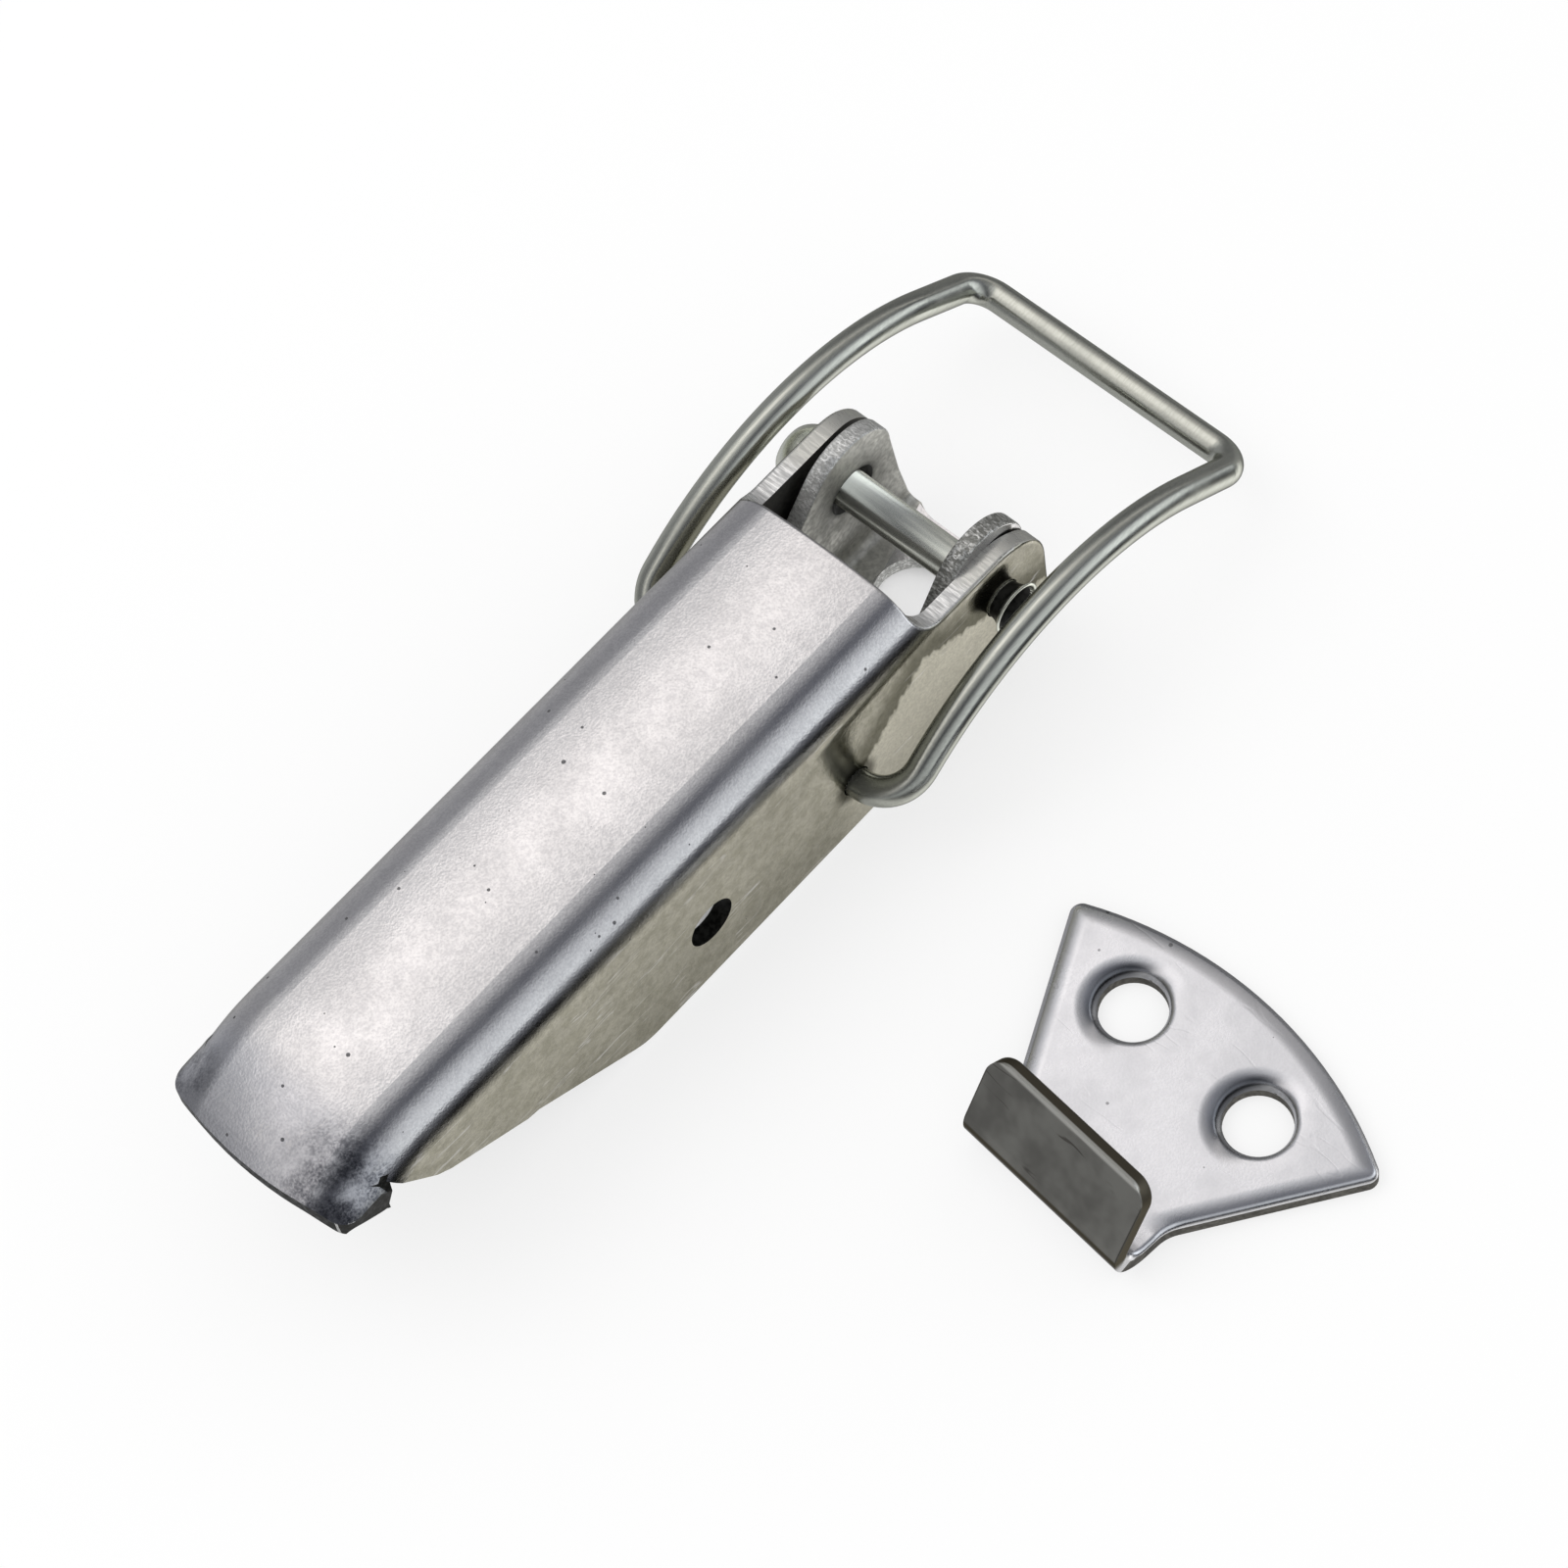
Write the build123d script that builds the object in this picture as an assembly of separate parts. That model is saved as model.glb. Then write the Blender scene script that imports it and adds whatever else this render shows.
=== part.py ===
from build123d import *
import math
import os

# Over centre toggle latch: pressed steel lever and base, wire bail, tubular rivet and a
# separate catch plate.  Millimetres, +Z up.  The base stands on Z = 0 and the lever pivot
# lies over X = 0.  X runs from the lever tip (-) to the bail (+), Y across the latch.

# ---------------------------------------------------------------- shared stock and fits
sheet = 1.2                    # thickness of every pressed part
wire_d = 2.0                   # bail wire
running_clearance = 0.08       # radial, anything that turns in or on something else
side_clearance = 0.2           # each side, between lever ears and base ears
end_play = 0.1                 # each side, under the rivet's head and flare
overcut = 3.0                  # how far a cutter stands past the metal

# ---------------------------------------------------------------- pivot
pivot_z = 8.9
shank_d = 2.6
shank_bore_d = 1.9
shank_bore_depth = 6.0
head_d = 4.8
head_t = 0.75
head_edge = 0.15               # straight rim of the head
flare_d = 3.7                  # rolled open end of the rivet
flare_t = 1.15                 # how far it stands past the lever
flare_wall = 0.28
flare_rim_r = 0.11             # rounding of its edge

# ---------------------------------------------------------------- lever
lever_w = 15.2                 # over the side walls
lever_top = 16.1               # crown of the top face
lever_foot = 0.5               # lower edge of the walls above the mounting face
lever_bend_r = 3.7             # outside radius between top and walls
crown_half_angle = 6.0         # slope of the crowned top where it meets the bend
top_cut_x = -6.8               # front edge of the top face
top_cut_r = 1.8                # fillet from that cut into the ear
ear_edge_r = 0.25              # rolled edge, outside, of the top's front and the ears
ear_top_z = 13.0               # upper edge of the ear
ear_r = 4.0                    # rounding of the ear
ear_lead = 0.1                 # the rounding's centre ahead of the pivot
ear_knee_z = 4.2               # straight front of the ear ends
ear_knee_r = 1.6
ear_toe_x = 0.6                # where the ear meets the lower edge of the wall
heel_x = -33.4                 # lower edge starts to rise towards the tip
heel_r = 4.0
tip_x = -57.2
tip_run = 8.4                  # the top falls towards the tip over this length
tip_drop = 3.0                 # fall of the crown at the tip
tab_len = 4.6                  # finger tab, from the tip to where the walls run out
tab_w = 14.7
tab_shoulder = 0.8             # lead from the full width to the tab's
tab_front_r = 27.0
tab_corner_r = 1.4
gather_depth = 3.0             # wall left below the crown where it runs out
gather_run = 0.6               # lead of the small corner there
slope_run = 3.2                # steep rise ahead of that corner
slope_depth = 7.0              # its lower end below the crown
shear_step_run = 7.4           # trim step left on the long slope
shear_step = 0.3
shear_step_lead = 0.9
lock_hole_x, lock_hole_z = -26.7, 6.3
lock_hole_d = 3.5

# ---------------------------------------------------------------- base
base_ear_top_z = 14.1
base_ear_r = 3.65
base_knee_x, base_knee_z = 4.25, 5.8  # the ear's front spreads a little down to here
base_flare_r = 12.0
base_toe_x, base_toe_z = 5.1, 1.2  # front foot of the ear
base_edge_r = 0.15             # broken edges of the ears
base_bend_r = 0.8              # inside radius
base_front_x = 4.65            # front edge between the ears
base_front_w = 5.2             # straight part of that edge
base_front_r = 3.0
base_heel_x = -11.2            # rear foot of each ear
base_heel_lift = 0.4           # height of that foot above the bend
base_heel_r = 2.0
base_rear_slope = 52.0         # rear edge of the ear, degrees from the plate
base_tail_x = -26.0
base_tail_step = 0.2           # each side, from the bend to the tail
base_tail_r = 3.0
base_waist_r = 1.5             # between ear foot and tail
base_hole_d = 5.5
base_hole_front_x = -0.3
base_hole_rear_x = -20.0
base_rim_lead = 0.5            # countersink inside each rivet hole

# ---------------------------------------------------------------- bail
bail_pivot_x, bail_pivot_z = -13.8, 5.4
bail_bar_x, bail_bar_z = 18.4, 4.2
bail_w = 21.8                  # centre to centre of the legs
bail_rear_slope = 36.0
bail_front_slope = 34.0
bail_arch_r = 21.0
bail_corner_r = 2.0
bail_rear_r = 3.1
bail_end_inside = 1.2          # wire end standing inside the lever wall
bail_end_r = 0.3               # rounding of the cut ends

# ---------------------------------------------------------------- catch plate
catch_x, catch_y = -13.8, -34.1    # middle of its two holes
catch_turn = -5.4              # degrees about Z
catch_hole_pitch = 10.5
catch_hole_d = 4.3
catch_hole_roll = 0.5          # drawn-in rim of each hole
catch_front = 5.85             # crown of the arc ahead of the holes
catch_arc_r = 27.0
catch_half_w = 13.0
catch_side_angle = 30.5        # each side from the middle line
catch_corner_r = 0.8
catch_neck_w = 12.8
catch_neck_r = 2.5
catch_bend_x = -10.4
catch_bend_r = 1.2             # inside radius
catch_bend_angle = 120.0
catch_lip = 5.2                # straight part of the lip
catch_lip_corner_r = 1.5
catch_edge_roll = 0.35         # rolled edge of the punched outline

# ---------------------------------------------------------------- derived
half_w = lever_w / 2
wall_in = half_w - sheet
base_out = wall_in - side_clearance
base_in = base_out - sheet
wire_hole_d = wire_d + 2 * running_clearance
shank_hole_d = shank_d + 2 * running_clearance
droop_x = tip_x + tip_run
gather_x, gather_z = tip_x + tab_len, lever_top - gather_depth
rise_x, rise_z = gather_x + slope_run, lever_top - slope_depth
shear_step_x = rise_x + shear_step_run
catch_outer_r = catch_bend_r + sheet
alpha = math.radians(crown_half_angle)
crown_r = (half_w - lever_bend_r * (1 - math.sin(alpha))) / math.sin(alpha)
crown_axis_z = lever_top - crown_r
bend_axis_y = half_w - lever_bend_r
bend_axis_z = crown_axis_z + (crown_r - lever_bend_r) * math.cos(alpha)


def ring_point(cy, cz, r, angle):
    """Point on a circle in the Y-Z plane, angle measured from +Z towards +Y."""
    return cy + r * math.sin(angle), cz + r * math.cos(angle)


def lever_section(x, crown_z, turn, flange):
    """Face across the folded lever at X = x: crown, two bends of 'turn' degrees, two flanges."""
    end = alpha + math.radians(turn)
    centre_z = crown_z - crown_r
    bend_y, bend_z = ring_point(0, centre_z, crown_r - lever_bend_r, alpha)
    side = []
    for r_crown, r_bend in ((crown_r, lever_bend_r), (crown_r - sheet, lever_bend_r - sheet)):
        a = ring_point(0, centre_z, r_crown, alpha)
        m = ring_point(bend_y, bend_z, r_bend, (alpha + end) / 2)
        b = ring_point(bend_y, bend_z, r_bend, end)
        c = (b[0] + flange * math.cos(end), b[1] - flange * math.sin(end))
        side.append((a, m, b, c, centre_z + r_crown))
    (a, m, b, c, top), (ia, im, ib, ic, itop) = side

    def at(p, sign=1):
        return Vector(x, sign * p[0], p[1])

    edges = [
        Line(at(c), at(b)),
        ThreePointArc(at(b), at(m), at(a)),
        ThreePointArc(at(a), Vector(x, 0, top), at(a, -1)),
        ThreePointArc(at(a, -1), at(m, -1), at(b, -1)),
        Line(at(b, -1), at(c, -1)),
        Line(at(c, -1), at(ic, -1)),
        Line(at(ic, -1), at(ib, -1)),
        ThreePointArc(at(ib, -1), at(im, -1), at(ia, -1)),
        ThreePointArc(at(ia, -1), Vector(x, 0, itop), at(ia)),
        ThreePointArc(at(ia), at(im), at(ib)),
        Line(at(ib), at(ic)),
        Line(at(ic), at(c)),
    ]
    return make_face(edges)


def xz(x, z):
    return Vector(x, 0, z)


def prism_y(face, half):
    """Solid of an X-Z face, 'half' to each side of Y = 0."""
    return extrude(face, amount=half, dir=(0, 1, 0), both=True)


# ================================================================ lever
def outside_gap(p):
    """Distance of a point from the outer skin of the lever's straight part."""
    side = abs(p.Y)
    if p.Z < bend_axis_z:
        return abs(side - half_w)
    if side > bend_axis_y + lever_bend_r * math.sin(alpha):
        return abs(math.hypot(side - bend_axis_y, p.Z - bend_axis_z) - lever_bend_r)
    return abs(math.hypot(side, p.Z - crown_axis_z) - crown_r)


def on_front_outline(edge):
    """Whether an edge bounds the outer skin at the top's front or round an ear."""
    points = [edge.position_at(t) for t in (0.05, 0.5, 0.95)]
    ahead = all(p.X > top_cut_x - 0.01 and p.Z > lever_foot + 0.01 for p in points)
    return ahead and all(outside_gap(p) < 0.01 for p in points)


def make_lever():
    full_turn = 90 - crown_half_angle
    section = lever_section(droop_x, lever_top, full_turn, bend_axis_z - lever_foot)
    body = extrude(section, amount=ear_lead + ear_r - droop_x, dir=(1, 0, 0))
    # the top falls and the walls open out: share of the run, share of the fall, wall turn, wall length
    stations = ((0, 0, full_turn, 4.4), (0.24, 0.05, 78, 3.4), (0.48, 0.22, 55, 2.6),
                (0.71, 0.47, 32, 2.2), (1.05, 1.07, 18, 2.4))
    sections = []
    for run, fall, turn, flange in stations:
        sections.append(lever_section(droop_x - run * tip_run, lever_top - fall * tip_drop, turn, flange))
    body = body + loft(sections)

    # long lower edge, heel and slope; the small step is where the blank was trimmed
    slope = (rise_z - lever_foot) / (heel_x - rise_x)
    step_z = lever_foot + slope * (heel_x - shear_step_x)
    below = make_face(Polyline(
        xz(heel_x + 2 * heel_r, lever_foot - overcut),
        xz(heel_x + 2 * heel_r, lever_foot),
        xz(heel_x, lever_foot),
        xz(shear_step_x, step_z + shear_step),
        xz(shear_step_x - shear_step_lead, step_z + shear_step_lead * slope),
        xz(rise_x, rise_z),
        xz(gather_x, gather_z),
        xz(gather_x - gather_run, gather_z - 3 * gather_run),
        xz(gather_x - gather_run, lever_foot - overcut),
        close=True,
    ))
    for corner in (xz(heel_x, lever_foot), xz(rise_x, rise_z)):
        below = fillet(below.vertices().sort_by_distance(corner)[:1], heel_r)
    body = body - prism_y(below, lever_w)

    # finger tab outline
    tab = tab_w / 2
    sag = tab_front_r - math.sqrt(tab_front_r**2 - tab**2)
    shoulder_x = gather_x - tab_shoulder
    outline = make_face([
        Line((droop_x, half_w), (droop_x, -half_w)),
        Line((droop_x, -half_w), (gather_x, -half_w)),
        Line((gather_x, -half_w), (shoulder_x, -tab)),
        Line((shoulder_x, -tab), (tip_x + sag, -tab)),
        ThreePointArc((tip_x + sag, -tab), (tip_x, 0), (tip_x + sag, tab)),
        Line((tip_x + sag, tab), (shoulder_x, tab)),
        Line((shoulder_x, tab), (gather_x, half_w)),
        Line((gather_x, half_w), (droop_x, half_w)),
    ])
    corners = outline.vertices().filter_by(lambda v: abs(v.X - (tip_x + sag)) < 0.01)
    outline = fillet(corners, tab_corner_r)
    front_x = ear_lead + ear_r + overcut
    length = front_x - droop_x
    tall = 2 * lever_top
    rest = Pos(droop_x + length / 2, 0, tall / 2) * Box(length, 2 * lever_w, tall)
    body = body & (extrude(outline, amount=tall) + rest)

    # front: top cut away above the ears, ears rounded
    over_z = lever_top + overcut
    notch = make_face(Polyline(
        xz(top_cut_x, ear_top_z), xz(front_x, ear_top_z),
        xz(front_x, over_z), xz(top_cut_x, over_z), close=True))
    inner = notch.vertices().sort_by_distance(xz(top_cut_x, ear_top_z))[:1]
    body = body - prism_y(fillet(inner, top_cut_r), lever_w)
    ear_z = ear_top_z - ear_r
    ear_x = ear_lead + ear_r
    diagonal = ear_r * math.sqrt(0.5)
    under_z = lever_foot - overcut
    round_off = make_face([
        ThreePointArc(xz(ear_lead, ear_top_z), xz(ear_lead + diagonal, ear_z + diagonal), xz(ear_x, ear_z)),
        Line(xz(ear_x, ear_z), xz(ear_x, ear_knee_z)),
        Line(xz(ear_x, ear_knee_z), xz(ear_toe_x, lever_foot)),
        Line(xz(ear_toe_x, lever_foot), xz(ear_toe_x, under_z)),
        Line(xz(ear_toe_x, under_z), xz(front_x, under_z)),
        Line(xz(front_x, under_z), xz(front_x, ear_top_z)),
        Line(xz(front_x, ear_top_z), xz(ear_lead, ear_top_z)),
    ])
    knee = round_off.vertices().sort_by_distance(xz(ear_x, ear_knee_z))[:1]
    body = body - prism_y(fillet(knee, ear_knee_r), lever_w)
    body = fillet(body.edges().filter_by(on_front_outline), ear_edge_r)

    for x, z, d in (
        (0, pivot_z, shank_hole_d),
        (bail_pivot_x, bail_pivot_z, wire_hole_d),
        (lock_hole_x, lock_hole_z, lock_hole_d),
    ):
        body = body - Pos(x, 0, z) * Rot(90, 0, 0) * Cylinder(d / 2, 2 * lever_w)
    return body


# ================================================================ base
def on_base_ear(edge):
    """Whether an edge bounds a flat face of a base ear."""
    points = [edge.position_at(t) for t in (0.05, 0.5, 0.95)]
    high = all(p.Z > sheet + base_bend_r for p in points) and not edge.is_closed
    return high and any(all(abs(abs(p.Y) - y) < 0.01 for p in points) for y in (base_in, base_out))


def make_base():
    outer_r = base_bend_r + sheet
    long = 2 * (base_toe_x - base_tail_x)
    tall = base_ear_top_z
    outer = Pos(0, 0, tall / 2) * Box(long, 2 * base_out, tall)
    outer = fillet(outer.edges().filter_by(Axis.X).group_by(Axis.Z)[0], outer_r)
    inner = Pos(0, 0, tall / 2 + sheet) * Box(long, 2 * base_in, tall)
    inner = fillet(inner.edges().filter_by(Axis.X).group_by(Axis.Z)[0], base_bend_r)
    channel = outer - inner

    # ear outline: round top, front with a flared foot, sloping rear
    slope = math.radians(base_rear_slope)
    ear_z = base_ear_top_z - base_ear_r
    rear = xz(-base_ear_r * math.sin(slope), ear_z + base_ear_r * math.cos(slope))
    foot_z = outer_r + base_heel_lift
    heel = xz(rear.X - (rear.Z - foot_z) / math.tan(slope), foot_z)
    shoulder = xz(base_ear_r, ear_z)
    knee = xz(base_knee_x, base_knee_z)
    outline = make_face([
        ThreePointArc(rear, xz(0, base_ear_top_z), shoulder),
        Line(shoulder, knee),
        Line(knee, xz(base_toe_x, base_toe_z)),
        Line(xz(base_toe_x, base_toe_z), xz(base_toe_x, 0)),
        Line(xz(base_toe_x, 0), xz(base_tail_x, 0)),
        Line(xz(base_tail_x, 0), xz(base_tail_x, foot_z)),
        Line(xz(base_tail_x, foot_z), heel),
        Line(heel, rear),
    ])
    for corner, r in ((shoulder, base_flare_r), (knee, base_flare_r), (heel, base_heel_r)):
        outline = fillet(outline.vertices().sort_by_distance(corner)[:1], r)
    body = channel & prism_y(outline, lever_w)

    # plan: shallow front edge between the ears, tail
    front_l = base_toe_x - base_front_x + overcut
    front = Pos(base_front_x + front_l / 2, 0) * Rectangle(front_l, base_front_w + 2 * base_front_r)
    front = fillet(front.vertices().group_by(Axis.X)[0], base_front_r)
    body = body - extrude(front, amount=sheet)
    tail_half = base_out - outer_r - base_tail_step
    waste_l = base_heel_x - base_tail_x + overcut
    waste_w = base_out - tail_half + overcut
    for sign in (-1, 1):
        middle_y = sign * (tail_half + waste_w / 2)
        waste = Pos(base_heel_x - waste_l / 2, middle_y) * Rectangle(waste_l, waste_w)
        inner_corner = waste.vertices().sort_by_distance((base_heel_x, sign * tail_half, 0))[:1]
        waste = fillet(inner_corner, base_waist_r)
        body = body - extrude(waste, amount=2 * foot_z)
    tail_edges = body.edges().filter_by(Axis.Z).group_by(Axis.X)[0]
    body = fillet(tail_edges, base_tail_r)

    for x in (base_hole_front_x, base_hole_rear_x):
        body = body - Pos(x, 0, 0) * Cylinder(base_hole_d / 2, 4 * sheet)
    body = body - Pos(0, 0, pivot_z) * Rot(90, 0, 0) * Cylinder(shank_hole_d / 2, 2 * lever_w)
    rims = body.edges().filter_by(GeomType.CIRCLE).filter_by(
        lambda e: abs(e.radius - shank_hole_d / 2) < 0.01 and abs(e.center().Y) < base_in + 0.01)
    body = chamfer(rims, base_rim_lead)
    return fillet(body.edges().filter_by(on_base_ear), base_edge_r)


# ================================================================ rivet
def make_rivet():
    """Tubular rivet, drawn in the X-Y plane (X = radius) and turned about the pivot axis."""
    shank = shank_d / 2
    bore = shank_bore_d / 2
    head = head_d / 2
    rim = flare_d / 2
    seat = half_w + end_play
    top = seat + head_t
    end = -seat - flare_t
    flare_mid = (shank + rim) / 2
    bore_end = end + shank_bore_depth
    fall = head_t - head_edge
    dome_r = ((head / 2) ** 2 + fall**2) / (2 * fall)
    lean = math.atan2(head / 2, dome_r - fall) / 2
    head_arc = Vector(head / 2 + dome_r * math.sin(lean), top - dome_r * (1 - math.cos(lean)))
    outer_arc = Vector(flare_mid - 0.1, -seat - flare_t * 0.55)
    inner_arc = Vector(flare_mid - 0.1 - flare_wall, end + flare_t * 0.5)
    profile = make_face([
        Line((0, top), (head / 2, top)),
        ThreePointArc((head / 2, top), head_arc, (head, seat + head_edge)),
        Line((head, seat + head_edge), (head, seat)),
        Line((head, seat), (shank, seat)),
        Line((shank, seat), (shank, -seat)),
        ThreePointArc((shank, -seat), outer_arc, (rim, end + flare_rim_r)),
        ThreePointArc((rim, end + flare_rim_r), (rim - flare_rim_r, end), (rim - 2 * flare_rim_r, end + flare_rim_r)),
        ThreePointArc((rim - 2 * flare_rim_r, end + flare_rim_r), inner_arc, (bore, -seat)),
        Line((bore, -seat), (bore, bore_end)),
        Line((bore, bore_end), (0, bore_end + bore / 2)),
        Line((0, bore_end + bore / 2), (0, top)),
    ])
    return Pos(0, 0, pivot_z) * revolve(profile, Axis.Y)


# ================================================================ bail
def rounded_path(points, radii):
    """Open path through the points with its own bend radius at each inner corner."""
    edges = []
    start = points[0]
    for i in range(1, len(points) - 1):
        corner = points[i]
        back = (points[i - 1] - corner).normalized()
        ahead = (points[i + 1] - corner).normalized()
        half = back.get_angle(ahead) / 2
        reach = radii[i - 1] / math.tan(math.radians(half))
        a = corner + back * reach
        b = corner + ahead * reach
        middle = (back + ahead).normalized()
        centre = corner + middle * (radii[i - 1] / math.sin(math.radians(half)))
        m = centre - middle * radii[i - 1]
        edges += [Line(start, a), ThreePointArc(a, m, b)]
        start = b
    edges.append(Line(start, points[-1]))
    return Wire(edges)


def make_bail():
    leg = bail_w / 2
    rise = math.tan(math.radians(bail_rear_slope))
    fall = math.tan(math.radians(bail_front_slope))
    apex_x = (bail_bar_z - bail_pivot_z + fall * bail_bar_x + rise * bail_pivot_x) / (rise + fall)
    apex_z = bail_pivot_z + rise * (apex_x - bail_pivot_x)
    end_y = wall_in - bail_end_inside
    right = [
        Vector(bail_pivot_x, -end_y, bail_pivot_z),
        Vector(bail_pivot_x, -leg, bail_pivot_z),
        Vector(apex_x, -leg, apex_z),
        Vector(bail_bar_x, -leg, bail_bar_z),
    ]
    left = [Vector(p.X, -p.Y, p.Z) for p in reversed(right)]
    radii = [bail_rear_r, bail_arch_r, bail_corner_r]
    path = rounded_path(right + left, radii + radii[::-1])
    start = Plane(origin=right[0], z_dir=(0, -1, 0))
    bail = sweep(start * Circle(wire_d / 2), path=path)
    ends = bail.edges().filter_by(GeomType.CIRCLE)
    ends = ends.filter_by(lambda e: abs(abs(e.center().Y) - end_y) < 0.01)
    return fillet(ends, bail_end_r)


# ================================================================ catch plate
def make_catch():
    turn = math.radians(catch_bend_angle)
    cz = sheet + catch_bend_r
    centre = xz(catch_bend_x, cz)

    def bend_point(r, angle):
        return xz(centre.X - r * math.sin(angle), centre.Z - r * math.cos(angle))

    along = xz(-math.cos(turn), math.sin(turn))
    out_end = bend_point(catch_outer_r, turn)
    in_end = bend_point(catch_bend_r, turn)
    front = catch_front + overcut
    strip = make_face([
        Line(xz(front, 0), xz(catch_bend_x, 0)),
        ThreePointArc(xz(catch_bend_x, 0), bend_point(catch_outer_r, turn / 2), out_end),
        Line(out_end, out_end + along * catch_lip),
        Line(out_end + along * catch_lip, in_end + along * catch_lip),
        Line(in_end + along * catch_lip, in_end),
        ThreePointArc(in_end, bend_point(catch_bend_r, turn / 2), xz(catch_bend_x, sheet)),
        Line(xz(catch_bend_x, sheet), xz(front, sheet)),
        Line(xz(front, sheet), xz(front, 0)),
    ])
    body = prism_y(strip, catch_half_w + overcut)

    # plan outline
    neck = catch_neck_w / 2
    sag = catch_arc_r - math.sqrt(catch_arc_r**2 - catch_half_w**2)
    corner_x = catch_front - sag
    neck_x = corner_x - (catch_half_w - neck) / math.tan(math.radians(catch_side_angle))
    back_x = catch_bend_x - catch_outer_r - overcut
    outline = make_face([
        ThreePointArc((corner_x, -catch_half_w), (catch_front, 0), (corner_x, catch_half_w)),
        Line((corner_x, catch_half_w), (neck_x, neck)),
        Line((neck_x, neck), (back_x, neck)),
        Line((back_x, neck), (back_x, -neck)),
        Line((back_x, -neck), (neck_x, -neck)),
        Line((neck_x, -neck), (corner_x, -catch_half_w)),
    ])
    corners = outline.vertices().filter_by(lambda v: abs(v.X - corner_x) < 0.01)
    outline = fillet(corners, catch_corner_r)
    necks = outline.vertices().filter_by(lambda v: abs(v.X - neck_x) < 0.01)
    outline = fillet(necks, catch_neck_r)
    lip_plan = Pos(catch_bend_x, 0, sheet) * Rectangle(4 * (catch_lip + catch_outer_r), 2 * neck)
    lip_room = extrude(lip_plan, amount=2 * (catch_lip + catch_outer_r))
    body = body & (extrude(outline, amount=sheet) + lip_room)

    tip = out_end.Z + along.Z * catch_lip
    lip_corners = body.edges().filter_by(
        lambda e: e.center().Z > tip - sheet and abs(abs(e.center().Y) - neck) < 0.01
        and abs(e.length - sheet) < 0.01)
    body = fillet(lip_corners, catch_lip_corner_r)
    for sign in (-1, 1):
        body = body - Pos(0, sign * catch_hole_pitch / 2, 0) * Cylinder(catch_hole_d / 2, 4 * sheet)
    rims = body.edges().filter_by(GeomType.CIRCLE).filter_by(
        lambda e: abs(e.radius - catch_hole_d / 2) < 0.01 and e.center().Z > sheet - 0.01)
    body = fillet(rims, catch_hole_roll)
    plate_top = body.faces().filter_by(Axis.Z).sort_by_distance(xz(0, sheet))[0]
    rolled = plate_top.outer_wire().edges().filter_by(lambda e: e.center().X > catch_bend_x + 0.01)
    body = fillet(rolled, catch_edge_roll)
    return Pos(catch_x, catch_y, 0) * Rot(0, 0, catch_turn) * body


# ================================================================ write the parts
os.makedirs("parts", exist_ok=True)
parts = {
    "lever": make_lever(),
    "base_plate": make_base(),
    "pivot_rivet": make_rivet(),
    "bail": make_bail(),
    "catch_plate": make_catch(),
}
for name, shape in parts.items():
    export_step(shape, f"parts/{name}.step")
    box = shape.bounding_box()
    print(name, len(shape.solids()), round(shape.volume, 1), box.min, box.max)
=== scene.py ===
import math

import bpy
from bpy.props import FloatProperty, FloatVectorProperty, PointerProperty
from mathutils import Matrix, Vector


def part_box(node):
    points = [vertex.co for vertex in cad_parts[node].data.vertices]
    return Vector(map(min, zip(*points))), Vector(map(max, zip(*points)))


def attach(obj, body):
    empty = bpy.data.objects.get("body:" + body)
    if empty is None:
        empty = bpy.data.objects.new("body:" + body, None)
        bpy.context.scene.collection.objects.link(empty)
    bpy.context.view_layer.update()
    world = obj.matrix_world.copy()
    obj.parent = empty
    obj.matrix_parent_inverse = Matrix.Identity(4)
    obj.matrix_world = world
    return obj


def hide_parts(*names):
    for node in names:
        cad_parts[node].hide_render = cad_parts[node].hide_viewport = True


bl_info = {
    "name": "Over Centre Toggle Latch",
    "version": (1, 0, 0),
    "blender": (4, 5, 0),
    "location": "3D View > Sidebar > Latch",
    "description": "Finishes and studio stage for a pressed steel toggle latch",
    "category": "Object",
}

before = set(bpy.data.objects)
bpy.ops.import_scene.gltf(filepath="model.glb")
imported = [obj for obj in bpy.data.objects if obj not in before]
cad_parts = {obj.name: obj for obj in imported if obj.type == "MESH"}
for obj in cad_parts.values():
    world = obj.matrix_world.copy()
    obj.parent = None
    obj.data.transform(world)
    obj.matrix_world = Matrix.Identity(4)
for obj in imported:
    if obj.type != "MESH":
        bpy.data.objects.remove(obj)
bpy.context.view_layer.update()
MM = 0.001

# Sizes and places are in metres. In a pair of reaches a mark starts at the first and is full at the second.

# The lever. A hole's place is given in X and Z.
LEVER_LOW, LEVER_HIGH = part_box("lever")
SHEET = 1.2 * MM
LOCK_HOLE = (-26.7 * MM, 6.3 * MM)
BAIL_HOLE = (-13.8 * MM, 5.4 * MM)
HOLE_REACH = 1.85 * MM
BEND_DROP = 3.4 * MM
EARS_FROM = -8.5 * MM
TAB_LENGTH = 4.6 * MM
EDGE_MARGIN = 0.02 * MM
INSIDE_MARGIN = 0.05 * MM

# Scratches that wander and lie in patches, and the mottle of the painted shade in holes
WANDER = 0.6 * MM
WANDERS_PER_METRE = 260.0
PATCHES_PER_METRE = 330.0
SHADE_MOTTLE_PER_METRE = 2400.0
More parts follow.
